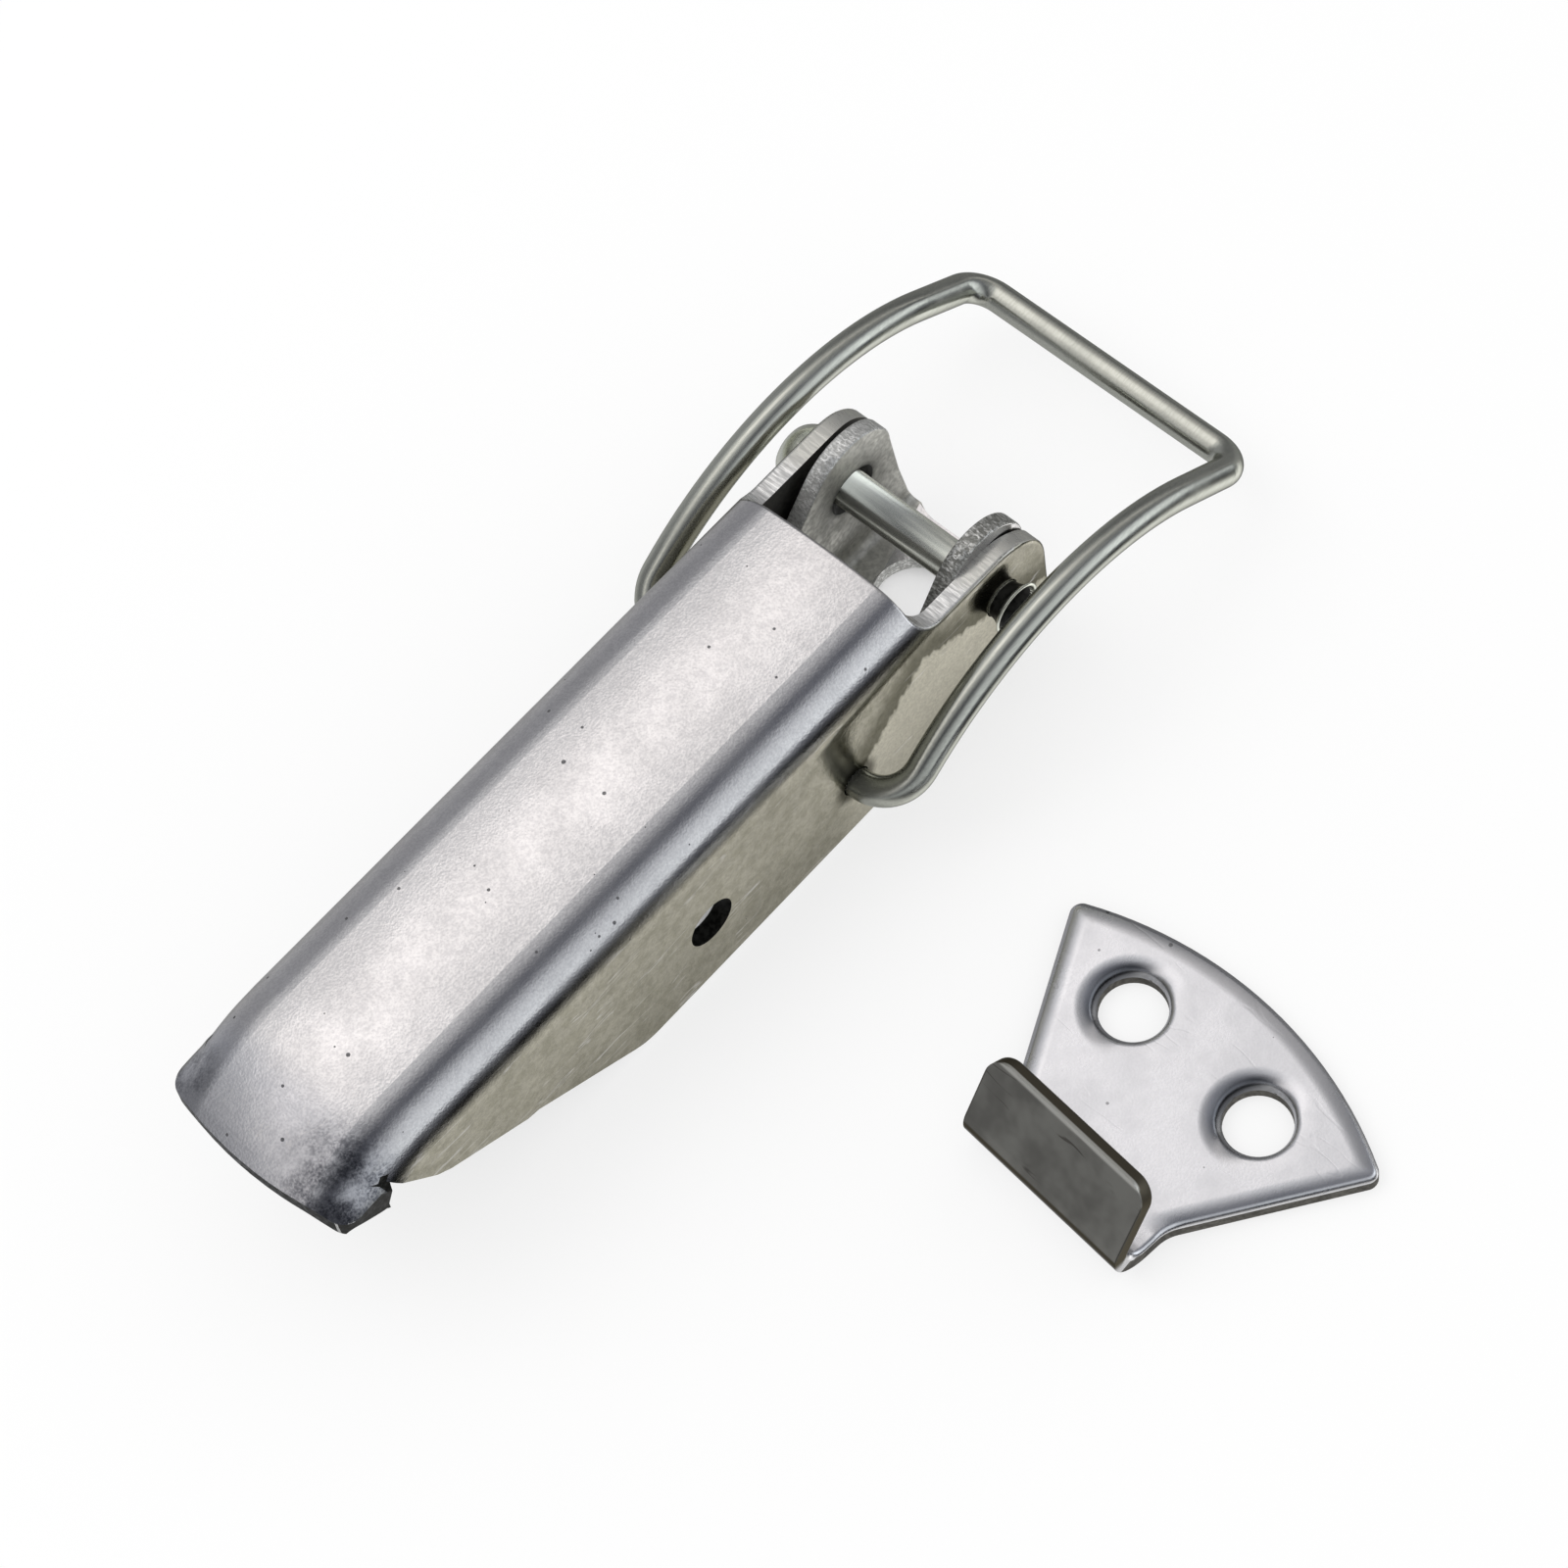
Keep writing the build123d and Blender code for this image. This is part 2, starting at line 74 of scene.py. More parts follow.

# Marks on the lever's walls: random mottle, and painted light and shade. The pressed pad lies below two
# lines, each a place and a lean from level.
SIDE_REACH = (6.9 * MM, 7.55 * MM)
# painted shade: the walls are darker towards the floor over this reach
WALL_SHADE = (0.5 * MM, 9.5 * MM)
MOTTLE_SIZE = 1.1 * MM
PAD_REAR = ((-9.7 * MM, 8.9 * MM), math.radians(40))
PAD_FRONT = ((-5.0 * MM, 10.2 * MM), math.radians(-24))
PAD_CORNER = 1.2 * MM
PAD_EDGE = (0.05 * MM, -0.25 * MM)
PAD_START = (-16.5 * MM, -13.0 * MM)
TOOTH_WIDTH = 0.45 * MM
TOOTH_HEIGHT = 0.9 * MM
# painted shade in the valley over the pad, from its foot to its brow
VALLEY_FOOT = (0.0, 0.2 * MM)
VALLEY_BROW = (3.4 * MM, 0.6 * MM)
# painted shadow round the bail's hole
BAIL_SHADOW = (2.1 * MM, 1.2 * MM)
SCORING = (-1.6 * MM, -3.6 * MM)

# Marks on the finger tab, at places in X and Y
NEAR_DARK_PATCH = (-54.9 * MM, -5.8 * MM)
NEAR_DARK_PATCH_REACH = (4.8 * MM, 1.6 * MM)
FAR_DARK_PATCH = (-55.2 * MM, 6.2 * MM)
FAR_DARK_PATCH_REACH = (2.6 * MM, 0.8 * MM)
PATCH_BLOTCH = 1.5 * MM
BLUE_REACH = (-50.5 * MM, -53.5 * MM)

# The base and the rivet
BASE_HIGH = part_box("base_plate")[1]
BASE_FLAT = 3.6 * MM
FLECK_SIZE = 0.17 * MM
BASE_CHANNEL_Z = 9 * MM
EAR_FOOT = 2.0 * MM
FAR_EAR_LEAN = 0.7 * MM
NEAR_EAR_LEAN = 0.07 * MM
# painted shadow: the near ear's cut edge is darker, over this reach in Y
NEAR_SIDE = (2.0 * MM, -2.0 * MM)
RIVET_LOW, RIVET_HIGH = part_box("pivot_rivet")
RIVET = (RIVET_LOW + RIVET_HIGH) / 2
COUNTERSINK = 1.85 * MM
# painted shadow: a black ring round the rivet on the inside faces
RIVET_SHADOW_RING = (2.4 * MM, 1.5 * MM)
RIM_INSIDE = 1.55 * MM
RIM_DEPTH = 0.3 * MM
END_PLAY = 0.1 * MM
HEAD_HEIGHT = 2.0 * MM

# The catch plate, in its own axes: from the middle of its holes, with X towards its front
CATCH_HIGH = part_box("catch_plate")[1]
CATCH_MIDDLE = (-0.0138, -0.0341, 0.0)
CATCH_TURN = math.radians(-5.4)
CATCH_ARC_R = 27.0 * MM
CATCH_CROWN = 5.85 * MM
CATCH_SIDE = 9.925 * MM
CATCH_SIDE_SLOPE = math.radians(30.5)
CATCH_CORNER_R = 0.8 * MM
CATCH_HOLE_Y = 5.25 * MM
CATCH_HOLE_R = 2.5 * MM
EDGE_ROLL_WIDTH, EDGE_ROLL_R = 1.3 * MM, 2.0 * MM
EDGE_ROLL_START = (-9.6 * MM, -7.6 * MM)
HOLE_ROLL_WIDTH, HOLE_ROLL_R = 1.1 * MM, 1.6 * MM
HOLE_FAR_SIDE = (-1.6 * MM, 1.2 * MM)
# painted shadow: a dark crescent on the far side of each catch hole
CRESCENT_WIDTH = (0.6 * MM, 0.1 * MM)
CRESCENT_SIDE = (0.2 * MM, 2.2 * MM)

# Its lip leans over the plate by a slope, so a place through its thickness is X less Z times the slope.
LIP_SLOPE = math.tan(math.radians(30))
LIP_INNER = (-13.2 * MM, -13.5 * MM)
LIP_FOOT = (1.5 * MM, 2.6 * MM)
LIP_CUT_TOP = (-14.48 * MM, -14.38 * MM)
LIP_CUT_ENDS = (6.28 * MM, 6.38 * MM)
# painted highlight along the lip's top outer corner
LIP_HIGHLIGHT = (-14.2 * MM, -14.35 * MM)
LIP_HIGHLIGHT_DROP = (0.34 * MM, 0.14 * MM)

# How far a face may look along the sheet's normal and still be an edge of it
HOLE_WALL = 0.5
SHEARED_EDGE = 0.5
TAB_EDGE = 0.55
PLATE_EDGE = 0.3
EAR_EDGE = 0.9
CATCH_EDGE = 0.2
# Least share of a face's direction that looks at the middle of a fold, if it is inside the fold
INWARD = 0.3

# Material slots: of the lever and base, of the rivet and of the catch plate
PLATED, CUT, INSIDE, DARK = range(4)
TURNED, BORE = range(2)
SMOOTH, PUNCHED = range(2)

# Merging and shading of the pieces set in use
WELD = 0.002 * MM
SMOOTH_ANGLE = math.radians(28)

# The studio
LAMP_PLACE = (-0.25, 0.30, 0.60)
LAMP_SIZE = 0.5
LAMP_POWER = 1.2
CAMERA_PLACE = (-0.10616, -0.12063, 0.27709)
CAMERA_TURN = (27.861, 5.5646, -47.9506)
OPEN_AIR = (0.03, 0.22)
DOME_SEGMENTS, DOME_RINGS = 48, 24
# shares of the dome's radius, and the tones of its ends
NEAR_SIDE_SHARE = -0.4
FRONT_END = (0.20, 0.70)
REAR_END = (-0.60, -0.10)
FRONT_FAR_TONE, FRONT_NEAR_TONE = 0.42, 1.6
REAR_TONE, MIDDLE_TONE = 0.68, 1.08


# ---------------------------------------------------------------- settings
class LatchFinish(bpy.types.PropertyGroup):
    """Colours and surface sizes of the latch's metals"""

    zinc: FloatVectorProperty(name="Zinc", description="Colour of the satin zinc plating",
                              subtype="COLOR", size=3, min=0, max=1, default=(0.80, 0.785, 0.775))
    # Olive tint of the flat walls, set darker than the top as painted shade
    olive: FloatVectorProperty(name="Olive zinc", description="Colour of the plating on the flat side walls",
                               subtype="COLOR", size=3, min=0, max=1, default=(0.46, 0.44, 0.365))
    sheared: FloatVectorProperty(name="Sheared edge", description="Colour of the sheared sheet edges",
                                 subtype="COLOR", size=3, min=0, max=1, default=(0.90, 0.90, 0.885))
    # painted shade: the inside of the lever is given a dark tone
    lever_inside_shade: FloatVectorProperty(name="Lever inside shade",
                                      description="Colour of the plating inside the lever",
                                      subtype="COLOR", size=3, min=0, max=1, default=(0.20, 0.195, 0.18))
    catch_edge: FloatVectorProperty(name="Catch edge", description="Colour of the catch plate's cut edge",
                                    subtype="COLOR", size=3, min=0, max=1, default=(0.20, 0.19, 0.17))
    base_inside: FloatVectorProperty(name="Base inside",
                                     description="Colour of the plating between the base ears",
                                     subtype="COLOR", size=3, min=0, max=1, default=(0.80, 0.79, 0.73))
    wire: FloatVectorProperty(name="Wire", description="Colour of the drawn bail wire",
                              subtype="COLOR", size=3, min=0, max=1, default=(0.60, 0.61, 0.545))
    catch: FloatVectorProperty(name="Catch plate", description="Colour of the smooth catch plate",
                               subtype="COLOR", size=3, min=0, max=1, default=(0.84, 0.84, 0.855))
    pit: FloatVectorProperty(name="Pits", description="Colour inside pits and scratches",
                             subtype="COLOR", size=3, min=0, max=1, default=(0.10, 0.10, 0.105))
    grain_size: FloatProperty(name="Grain size", description="Size of one crystal of the plating",
                              subtype="DISTANCE", unit="LENGTH", min=0.00002, max=0.002, default=0.16 * MM)
    pit_spacing: FloatProperty(name="Pit spacing", description="Distance between neighbouring pits",
                               subtype="DISTANCE", unit="LENGTH", min=0.0002, max=0.01, default=1.1 * MM)
    sheet_roughness: FloatProperty(name="Plating roughness", description="Roughness of the satin plating",
                                   subtype="FACTOR", min=0, max=1, default=0.19)
    wire_roughness: FloatProperty(name="Wire roughness", description="Roughness of the drawn wire",
                                  subtype="FACTOR", min=0, max=1, default=0.17)


class LatchStage(bpy.types.PropertyGroup):
    """Floor, light and camera round the latch"""

    floor: FloatVectorProperty(name="Floor", description="Colour of the floor",
                               subtype="COLOR", size=3, min=0, max=1, default=(0.93, 0.93, 0.93))
    floor_size: FloatProperty(name="Floor size", description="Side of the square floor",
                              subtype="DISTANCE", unit="LENGTH", min=0.5, max=20, default=6.0)
    table_glow: FloatProperty(name="Table glow",
                              description="How much of its light the floor gives by itself",
                              subtype="FACTOR", min=0, max=1, default=0.72)
    cover_reach: FloatProperty(name="Cover reach",
                               description="How high over the floor the latch still covers it",
                               subtype="DISTANCE", unit="LENGTH", min=0.001, max=0.2, default=20 * MM)
    sky: FloatProperty(name="Sky strength", description="Brightness of the white surround",
                       min=0, max=5, default=0.90)
    lens: FloatProperty(name="Lens", description="Focal length of the camera",
                        subtype="DISTANCE_CAMERA", min=10, max=300, default=117.0)
    dome_radius: FloatProperty(name="Dome radius",
                               description="Distance of the panels that the metal mirrors",
                               subtype="DISTANCE", unit="LENGTH", min=0.3, max=5, default=2.0)
    dome_strength: FloatProperty(name="Panel strength",
                                 description="Brightness of the panels that the metal mirrors",
                                 min=0, max=5, default=1.0)


# ---------------------------------------------------------------- node helpers
def put(tree, kind, settings=None, **inputs):
    """Adds a node, sets its properties from settings and its sockets from inputs.

    An input name is the socket's name with _ for a space, or in0, in1 … for its place.
    A socket of another node is linked, and any other value is set.
    """
    node = tree.nodes.new(kind)
    for name, value in (settings or {}).items():
        setattr(node, name, value)
    for name, value in inputs.items():
        key = int(name[2:]) if name[:2] == "in" and name[2:].isdigit() else name.replace("_", " ")
        if isinstance(value, bpy.types.NodeSocket):
            tree.links.new(value, node.inputs[key])
        else:
            node.inputs[key].default_value = value
    return node


def maths(tree, operation, a, b=0.0, c=0.0, clamp=False):
    """One Math node."""
    settings = {"operation": operation, "use_clamp": clamp}
    return put(tree, "ShaderNodeMath", settings, in0=a, in1=b, in2=c).outputs[0]


def product(tree, a, b):
    """One value times another."""
    return maths(tree, "MULTIPLY", a, b)


def ramp(tree, value, low, high, to_low=0.0, to_high=1.0):
    """Smooth step of a value from low to high."""
    return put(tree, "ShaderNodeMapRange", {"interpolation_type": "SMOOTHSTEP"},
               in0=value, in1=low, in2=high, in3=to_low, in4=to_high).outputs[0]


def mix(tree, mask, a, b):
    """Colour a where mask is 0, b where it is 1."""
    node = tree.nodes.new("ShaderNodeMix")
    node.data_type = "RGBA"
    for index, value in ((0, mask), (6, a), (7, b)):
        if isinstance(value, bpy.types.NodeSocket):
            tree.links.new(value, node.inputs[index])
        elif index == 0:
            node.inputs[index].default_value = value
        else:
            node.inputs[index].default_value = (*value[:3], 1)
    return node.outputs[2]


def stretched(tree, vector, scale):
    """A vector with each axis multiplied."""
    return put(tree, "ShaderNodeVectorMath", {"operation": "MULTIPLY"}, in0=vector, in1=scale).outputs[0]


def toned(tree, mask, colour, factors):
    """The colour with its channels multiplied by the factors where mask is 1."""
    return mix(tree, mask, colour, stretched(tree, colour, factors))


def axes(tree, vector):
    """X, Y and Z of a vector."""
    return put(tree, "ShaderNodeSeparateXYZ", None, Vector=vector).outputs


def noise(tree, vector, scale, detail=2.0, roughness=0.5):
    """Value of a Noise texture, 0 to 1."""
    return put(tree, "ShaderNodeTexNoise", None, Vector=vector, Scale=scale, Detail=detail,
               Roughness=roughness).outputs["Fac"]


def group(name, inputs, outputs):
    """An empty node group with named sockets, its input node and its output node."""
    tree = bpy.data.node_groups.new(name, "ShaderNodeTree")
    for label, kind, default in inputs:
        socket = tree.interface.new_socket(label, in_out="INPUT", socket_type=kind)
        if default is not None:
            socket.default_value = default
    for label, kind in outputs:
        tree.interface.new_socket(label, in_out="OUTPUT", socket_type=kind)
    return tree, tree.nodes.new("NodeGroupInput"), tree.nodes.new("NodeGroupOutput")


VECTOR, FLOAT = "NodeSocketVector", "NodeSocketFloat"


# ---------------------------------------------------------------- shared surface effects
def plating_grain(name):
    """Crystal grain of the plating: light and dark specks, cloudy patches and a height."""
    tree, source, result = group(
        name,
        [("Place", VECTOR, None), ("Cell", FLOAT, 0.16 * MM)],
        [("Speck", FLOAT), ("Cloud", FLOAT), ("Height", FLOAT)])
    place = source.outputs["Place"]
    per_metre = maths(tree, "DIVIDE", 1.0, source.outputs["Cell"])
    fine = noise(tree, place, per_metre, 1.5, 0.6)
    coarse = noise(tree, place, product(tree, per_metre, 0.3), 2.0, 0.55)
    speck = maths(tree, "ADD", product(tree, fine, 0.65), product(tree, coarse, 0.35))
    cloud = noise(tree, place, product(tree, per_metre, 0.035), 3.0, 0.6)
    tree.links.new(ramp(tree, speck, 0.34, 0.66), result.inputs["Speck"])
    tree.links.new(ramp(tree, cloud, 0.35, 0.65), result.inputs["Cloud"])
    tree.links.new(speck, result.inputs["Height"])
    return tree


def pitting(name):
    """Small scattered pits, gathered into loose patches."""
    tree, source, result = group(
        name,
        [("Place", VECTOR, None), ("Spacing", FLOAT, 1.1 * MM), ("Share", FLOAT, 0.3)],
        [("Mask", FLOAT)])
    place = source.outputs["Place"]
    per_metre = maths(tree, "DIVIDE", 1.0, source.outputs["Spacing"])
    cell = put(tree, "ShaderNodeTexVoronoi", None, Vector=place, Scale=per_metre, Randomness=1.0)
    chance = put(tree, "ShaderNodeSeparateColor", None, Color=cell.outputs["Color"])
    size = product(tree, chance.outputs[1], 0.10)
    near = maths(tree, "LESS_THAN", cell.outputs["Distance"], maths(tree, "ADD", size, 0.03))
    patch = noise(tree, place, product(tree, per_metre, 0.16), 2.0)
    share = product(tree, source.outputs["Share"], ramp(tree, patch, 0.35, 0.7, 0.15, 2.0))
    kept = maths(tree, "LESS_THAN", chance.outputs[0], share)
    tree.links.new(product(tree, near, kept), result.inputs["Mask"])
    return tree


def shear_lines(name):
    """Fine score lines that run through the thickness of a sheared sheet edge."""
    tree, source, result = group(
        name,
        [("Place", VECTOR, None), ("Stretch", VECTOR, (1.0, 0.08, 1.0)), ("Pitch", FLOAT, 0.18 * MM)],
        [("Lines", FLOAT), ("Height", FLOAT)])
    per_metre = maths(tree, "DIVIDE", 1.0, source.outputs["Pitch"])
    lined = stretched(tree, source.outputs["Place"], source.outputs["Stretch"])
    lines = noise(tree, lined, per_metre, 2.5, 0.65)
    tree.links.new(ramp(tree, lines, 0.3, 0.7), result.inputs["Lines"])
    tree.links.new(lines, result.inputs["Height"])
    return tree


def handling_scratches(name):
    """Thin random scratches and rubbed marks from the tumbling drum."""
    tree, source, result = group(
        name,
        [("Place", VECTOR, None), ("Length", VECTOR, (60.0, 900.0, 900.0)), ("Amount", FLOAT, 0.5)],
        [("Mask", FLOAT)])
    warp = noise(tree, source.outputs["Place"], WANDERS_PER_METRE, 1.0)
    sideways = put(tree, "ShaderNodeCombineXYZ", None, X=warp, Y=warp, Z=warp).outputs[0]
    wander = stretched(tree, sideways, (WANDER, WANDER, WANDER))
    bent = put(tree, "ShaderNodeVectorMath", {"operation": "ADD"}, in0=source.outputs["Place"],
               in1=wander).outputs[0]
    long = stretched(tree, bent, source.outputs["Length"])
    line = noise(tree, long, 1.0, 2.0)
    edge = maths(tree, "ABSOLUTE", maths(tree, "SUBTRACT", line, 0.5))
    thin = ramp(tree, edge, 0.004, 0.016, 1.0, 0.0)
    where = ramp(tree, noise(tree, source.outputs["Place"], PATCHES_PER_METRE, 2.0), 0.5, 0.62)
    mask = product(tree, product(tree, thin, where), source.outputs["Amount"])
    tree.links.new(mask, result.inputs["Mask"])
    return tree


def use(tree, effect, **inputs):
    """Places a shared effect in a material. Its node group is built when it is first used."""
    name = effect.__name__.replace("_", " ").capitalize()
    built = bpy.data.node_groups.get(name) or effect(name)
    return put(tree, "ShaderNodeGroup", {"node_tree": built}, **inputs).outputs


def blank_material(name):
    """A material, its node tree and the surface socket of the output, which is its only node."""
    material = bpy.data.materials.new(name)
    material.use_nodes = True
    tree = material.node_tree
    tree.nodes.clear()
    return material, tree, tree.nodes.new("ShaderNodeOutputMaterial").inputs["Surface"]


def new_metal(name):
    """A material with its node tree, Principled shader and object coordinates."""
    material, tree, surface = blank_material(name)
    metal = put(tree, "ShaderNodeBsdfPrincipled", None, Metallic=1.0, Specular_Tint=(0.45, 0.45, 0.44, 1))
    tree.links.new(metal.outputs[0], surface)
    place = tree.nodes.new("ShaderNodeTexCoord").outputs["Object"]
    return material, tree, metal, place


def bump(tree, metal, height, depth):
    """Shades the metal's surface as raised by a height, of which 1 stands for the depth."""
    node = put(tree, "ShaderNodeBump", None, Strength=1.0, Distance=depth, Height=height)
    tree.links.new(node.outputs[0], metal.inputs["Normal"])


# ---------------------------------------------------------------- marks on the lever
def distance(tree, along, across):
    """Length of the slanting line that runs so far along and so far across."""
    squares = maths(tree, "ADD", product(tree, along, along), product(tree, across, across))
    return maths(tree, "SQRT", squares)


def reach(tree, axis, first, second, a, b):
    """Distance of a point from the place (a, b) in the plane of two axes."""
    return distance(tree, maths(tree, "SUBTRACT", axis[first], a), maths(tree, "SUBTRACT", axis[second], b))


def past_line(tree, axis, through, lean):
    """How far a point of the wall lies above a line through a place, leaning by an angle from level."""
    x = maths(tree, "SUBTRACT", axis["X"], through[0])
    z = maths(tree, "SUBTRACT", axis["Z"], through[1])
    return maths(tree, "ADD", product(tree, x, -math.sin(lean)), product(tree, z, math.cos(lean)))


def wall_marks(tree, place, axis):
    """Masks on the lever's walls: the ear's pressed pad, the valley over it, and the ring of painted shadow
    at the bail.
    """
    above = maths(tree, "SMOOTH_MAX", past_line(tree, axis, *PAD_REAR), past_line(tree, axis, *PAD_FRONT),
                  PAD_CORNER)
    teeth = noise(tree, stretched(tree, place, (1.0, 1.0, 0.35)), 1.0 / TOOTH_WIDTH, 1.0)
    above = maths(tree, "ADD", above, product(tree, maths(tree, "SUBTRACT", teeth, 0.5), TOOTH_HEIGHT))
    near_ear = ramp(tree, axis["X"], *PAD_START)
    pad = product(tree, ramp(tree, above, *PAD_EDGE), near_ear)
    valley = product(tree, ramp(tree, above, *VALLEY_FOOT), ramp(tree, above, *VALLEY_BROW))
    # painted shadow round the bail's hole
    ring = ramp(tree, reach(tree, axis, "X", "Z", *BAIL_HOLE), *BAIL_SHADOW)
    return pad, product(tree, valley, near_ear), ring


def wall_tones(tree, place, axis, side, colour):
    """The walls' colour: painted shade low down, random mottle, a painted reflection on the pad, painted
    shade in the valley and a painted shadow in the ring round the bail's hole.
    """
    # painted shade, darker low down on the walls
    low = ramp(tree, axis["Z"], *WALL_SHADE, 0.70, 1.0)
    grey = put(tree, "ShaderNodeCombineColor", None, Red=low, Green=low, Blue=low).outputs[0]
    colour = stretched(tree, colour, mix(tree, side, (1.0, 1.0, 1.0), grey))
    pad, valley, ring = wall_marks(tree, place, axis)
    mottle = ramp(tree, noise(tree, place, 1.0 / MOTTLE_SIZE, 4.0, 0.65), 0.40, 0.62)
    mottle = product(tree, mottle, maths(tree, "SUBTRACT", side, pad, clamp=True))
    colour = toned(tree, mottle, colour, (0.84, 0.84, 0.82))
    # painted reflection: the pressed pad is lighter
    colour = toned(tree, product(tree, pad, side), colour, (1.32, 1.32, 1.32))
    # painted shade in the valley over the pad
    colour = toned(tree, product(tree, valley, side), colour, (0.44, 0.44, 0.42))
    # painted shadow in a ring round the bail's hole
    return toned(tree, product(tree, ring, side), colour, (0.3, 0.3, 0.3))


def tab_marks(tree, place, axis, speck):
    """Masks on the finger tab: dark mottled patches at its corners and a bluish tone."""
    near = ramp(tree, reach(tree, axis, "X", "Y", *NEAR_DARK_PATCH), *NEAR_DARK_PATCH_REACH)
    far = ramp(tree, reach(tree, axis, "X", "Y", *FAR_DARK_PATCH), *FAR_DARK_PATCH_REACH, 0.0, 0.6)
    blotch = ramp(tree, noise(tree, place, 1.0 / PATCH_BLOTCH, 3.0, 0.6), 0.30, 0.60)
    patched = product(tree, maths(tree, "MAXIMUM", near, far), blotch)
    dark_patch = product(tree, patched, maths(tree, "MULTIPLY_ADD", speck, -0.5, 1.0))
    return dark_patch, ramp(tree, axis["X"], *BLUE_REACH)


# ---------------------------------------------------------------- metals
def satin_zinc(finish):
    """Satin zinc plating of the lever and base: whitish and grained on top; olive on the flat walls, and
    darker there as painted shade.
    """
    material, tree, metal, place = new_metal("satin_zinc")
    axis = axes(tree, place)
    grain = use(tree, plating_grain, Place=place, Cell=finish.grain_size)
    pits = use(tree, pitting, Place=place, Spacing=finish.pit_spacing, Share=0.32)["Mask"]
    rubbed = use(tree, handling_scratches, Place=place, Amount=0.35)["Mask"]

    side = ramp(tree, maths(tree, "ABSOLUTE", axis["Y"]), *SIDE_REACH)
    # the walls take the olive tint, darker than the top as painted shade
    colour = mix(tree, side, finish.zinc, finish.olive)
    colour = wall_tones(tree, place, axis, side, colour)
    dark_patch, blue = tab_marks(tree, place, axis, grain["Speck"])
    colour = toned(tree, blue, colour, (0.96, 0.98, 1.02))
    # dark mottled patches at the tab's corners
    colour = mix(tree, dark_patch, colour, (0.13, 0.135, 0.155))
    colour = toned(tree, grain["Cloud"], colour, (0.94, 0.94, 0.94))
    speckled = stretched(tree, colour, (0.86, 0.86, 0.87))
    colour = mix(tree, grain["Speck"], speckled, colour)
    colour = mix(tree, rubbed, colour, tuple(finish.zinc))
    colour = mix(tree, product(tree, pits, 0.75), colour, tuple(finish.pit))
    tree.links.new(colour, metal.inputs["Base Color"])

    rough = maths(tree, "ADD", finish.sheet_roughness, product(tree, grain["Cloud"], 0.08))
    rough = maths(tree, "ADD", rough, product(tree, grain["Speck"], -0.05))
    rough = maths(tree, "ADD", rough, product(tree, pits, 0.3))
    tree.links.new(rough, metal.inputs["Roughness"])
    height = maths(tree, "SUBTRACT", grain["Height"], product(tree, pits, 1.2))
    bump(tree, metal, height, depth=0.014 * MM)
    return material


def inside_zinc(name, tone):
    """Thin, blotchy plating inside a fold or on a punched edge, in the tone given; painted black as shadow in
    a ring round the rivet.
    """
    material, tree, metal, place = new_metal(name)
    grain = use(tree, plating_grain, Place=place, Cell=0.35 * MM)
    colour = mix(tree, grain["Cloud"], tuple(tone), tuple(0.62 * c for c in tone))
    colour = mix(tree, grain["Speck"], stretched(tree, colour, (0.72, 0.72, 0.72)), colour)
    axis = axes(tree, place)
    # painted shadow, black in a ring round the rivet
    rivet_shadow = ramp(tree, reach(tree, axis, "X", "Z", RIVET.x, RIVET.z), *RIVET_SHADOW_RING)
    colour = mix(tree, rivet_shadow, colour, (0.03, 0.03, 0.028))
    tree.links.new(colour, metal.inputs["Base Color"])
    tree.links.new(ramp(tree, grain["Speck"], 0.0, 1.0, 0.55, 0.42), metal.inputs["Roughness"])
    metal.inputs["Metallic"].default_value = 0.75
    bump(tree, metal, grain["Height"], depth=0.02 * MM)
    return material


def painted_shade():
    """Painted shade, nearly black and mottled: in the holes, on the tab's edge, round the rivet and in its
    bore.
    """
    if "painted_shade" in bpy.data.materials:
        return bpy.data.materials["painted_shade"]
    material, tree, metal, place = new_metal("painted_shade")
    metal.inputs["Metallic"].default_value = 0.4
    shade_mottle = noise(tree, place, SHADE_MOTTLE_PER_METRE, 3.0, 0.6)
    colour = mix(tree, ramp(tree, shade_mottle, 0.4, 0.62), (0.008, 0.008, 0.007), (0.028, 0.028, 0.025))
    tree.links.new(colour, metal.inputs["Base Color"])
    tree.links.new(ramp(tree, shade_mottle, 0.35, 0.65, 0.35, 0.6), metal.inputs["Roughness"])
    bump(tree, metal, shade_mottle, depth=0.03 * MM)
    return material


def sheared_zinc(finish):
    """Burnished cut edge of the lever: fine bright score lines, rubbed smooth round the top of the ears."""
    material, tree, metal, place = new_metal("sheared_zinc")
    axis = axes(tree, place)
    score = use(tree, shear_lines, Place=place, Stretch=(1.0, 0.12, 1.0), Pitch=0.15 * MM)
    grain = use(tree, plating_grain, Place=place, Cell=finish.grain_size)
    scored = ramp(tree, axis["X"], *SCORING, 0.12, 1.0)
    dull = tuple(0.62 * c for c in finish.sheared)
    colour = mix(tree, score["Lines"], dull, tuple(finish.sheared))
    colour = mix(tree, scored, (0.60, 0.595, 0.55), colour)
    colour = toned(tree, product(tree, grain["Cloud"], 0.25), colour, (0.7, 0.7, 0.68))
    metal.inputs["Metallic"].default_value = 0.8
    tree.links.new(colour, metal.inputs["Base Color"])
    tree.links.new(ramp(tree, score["Lines"], 0.0, 1.0, 0.42, 0.26), metal.inputs["Roughness"])
    bump(tree, metal, product(tree, score["Height"], scored), depth=0.04 * MM)
    return material


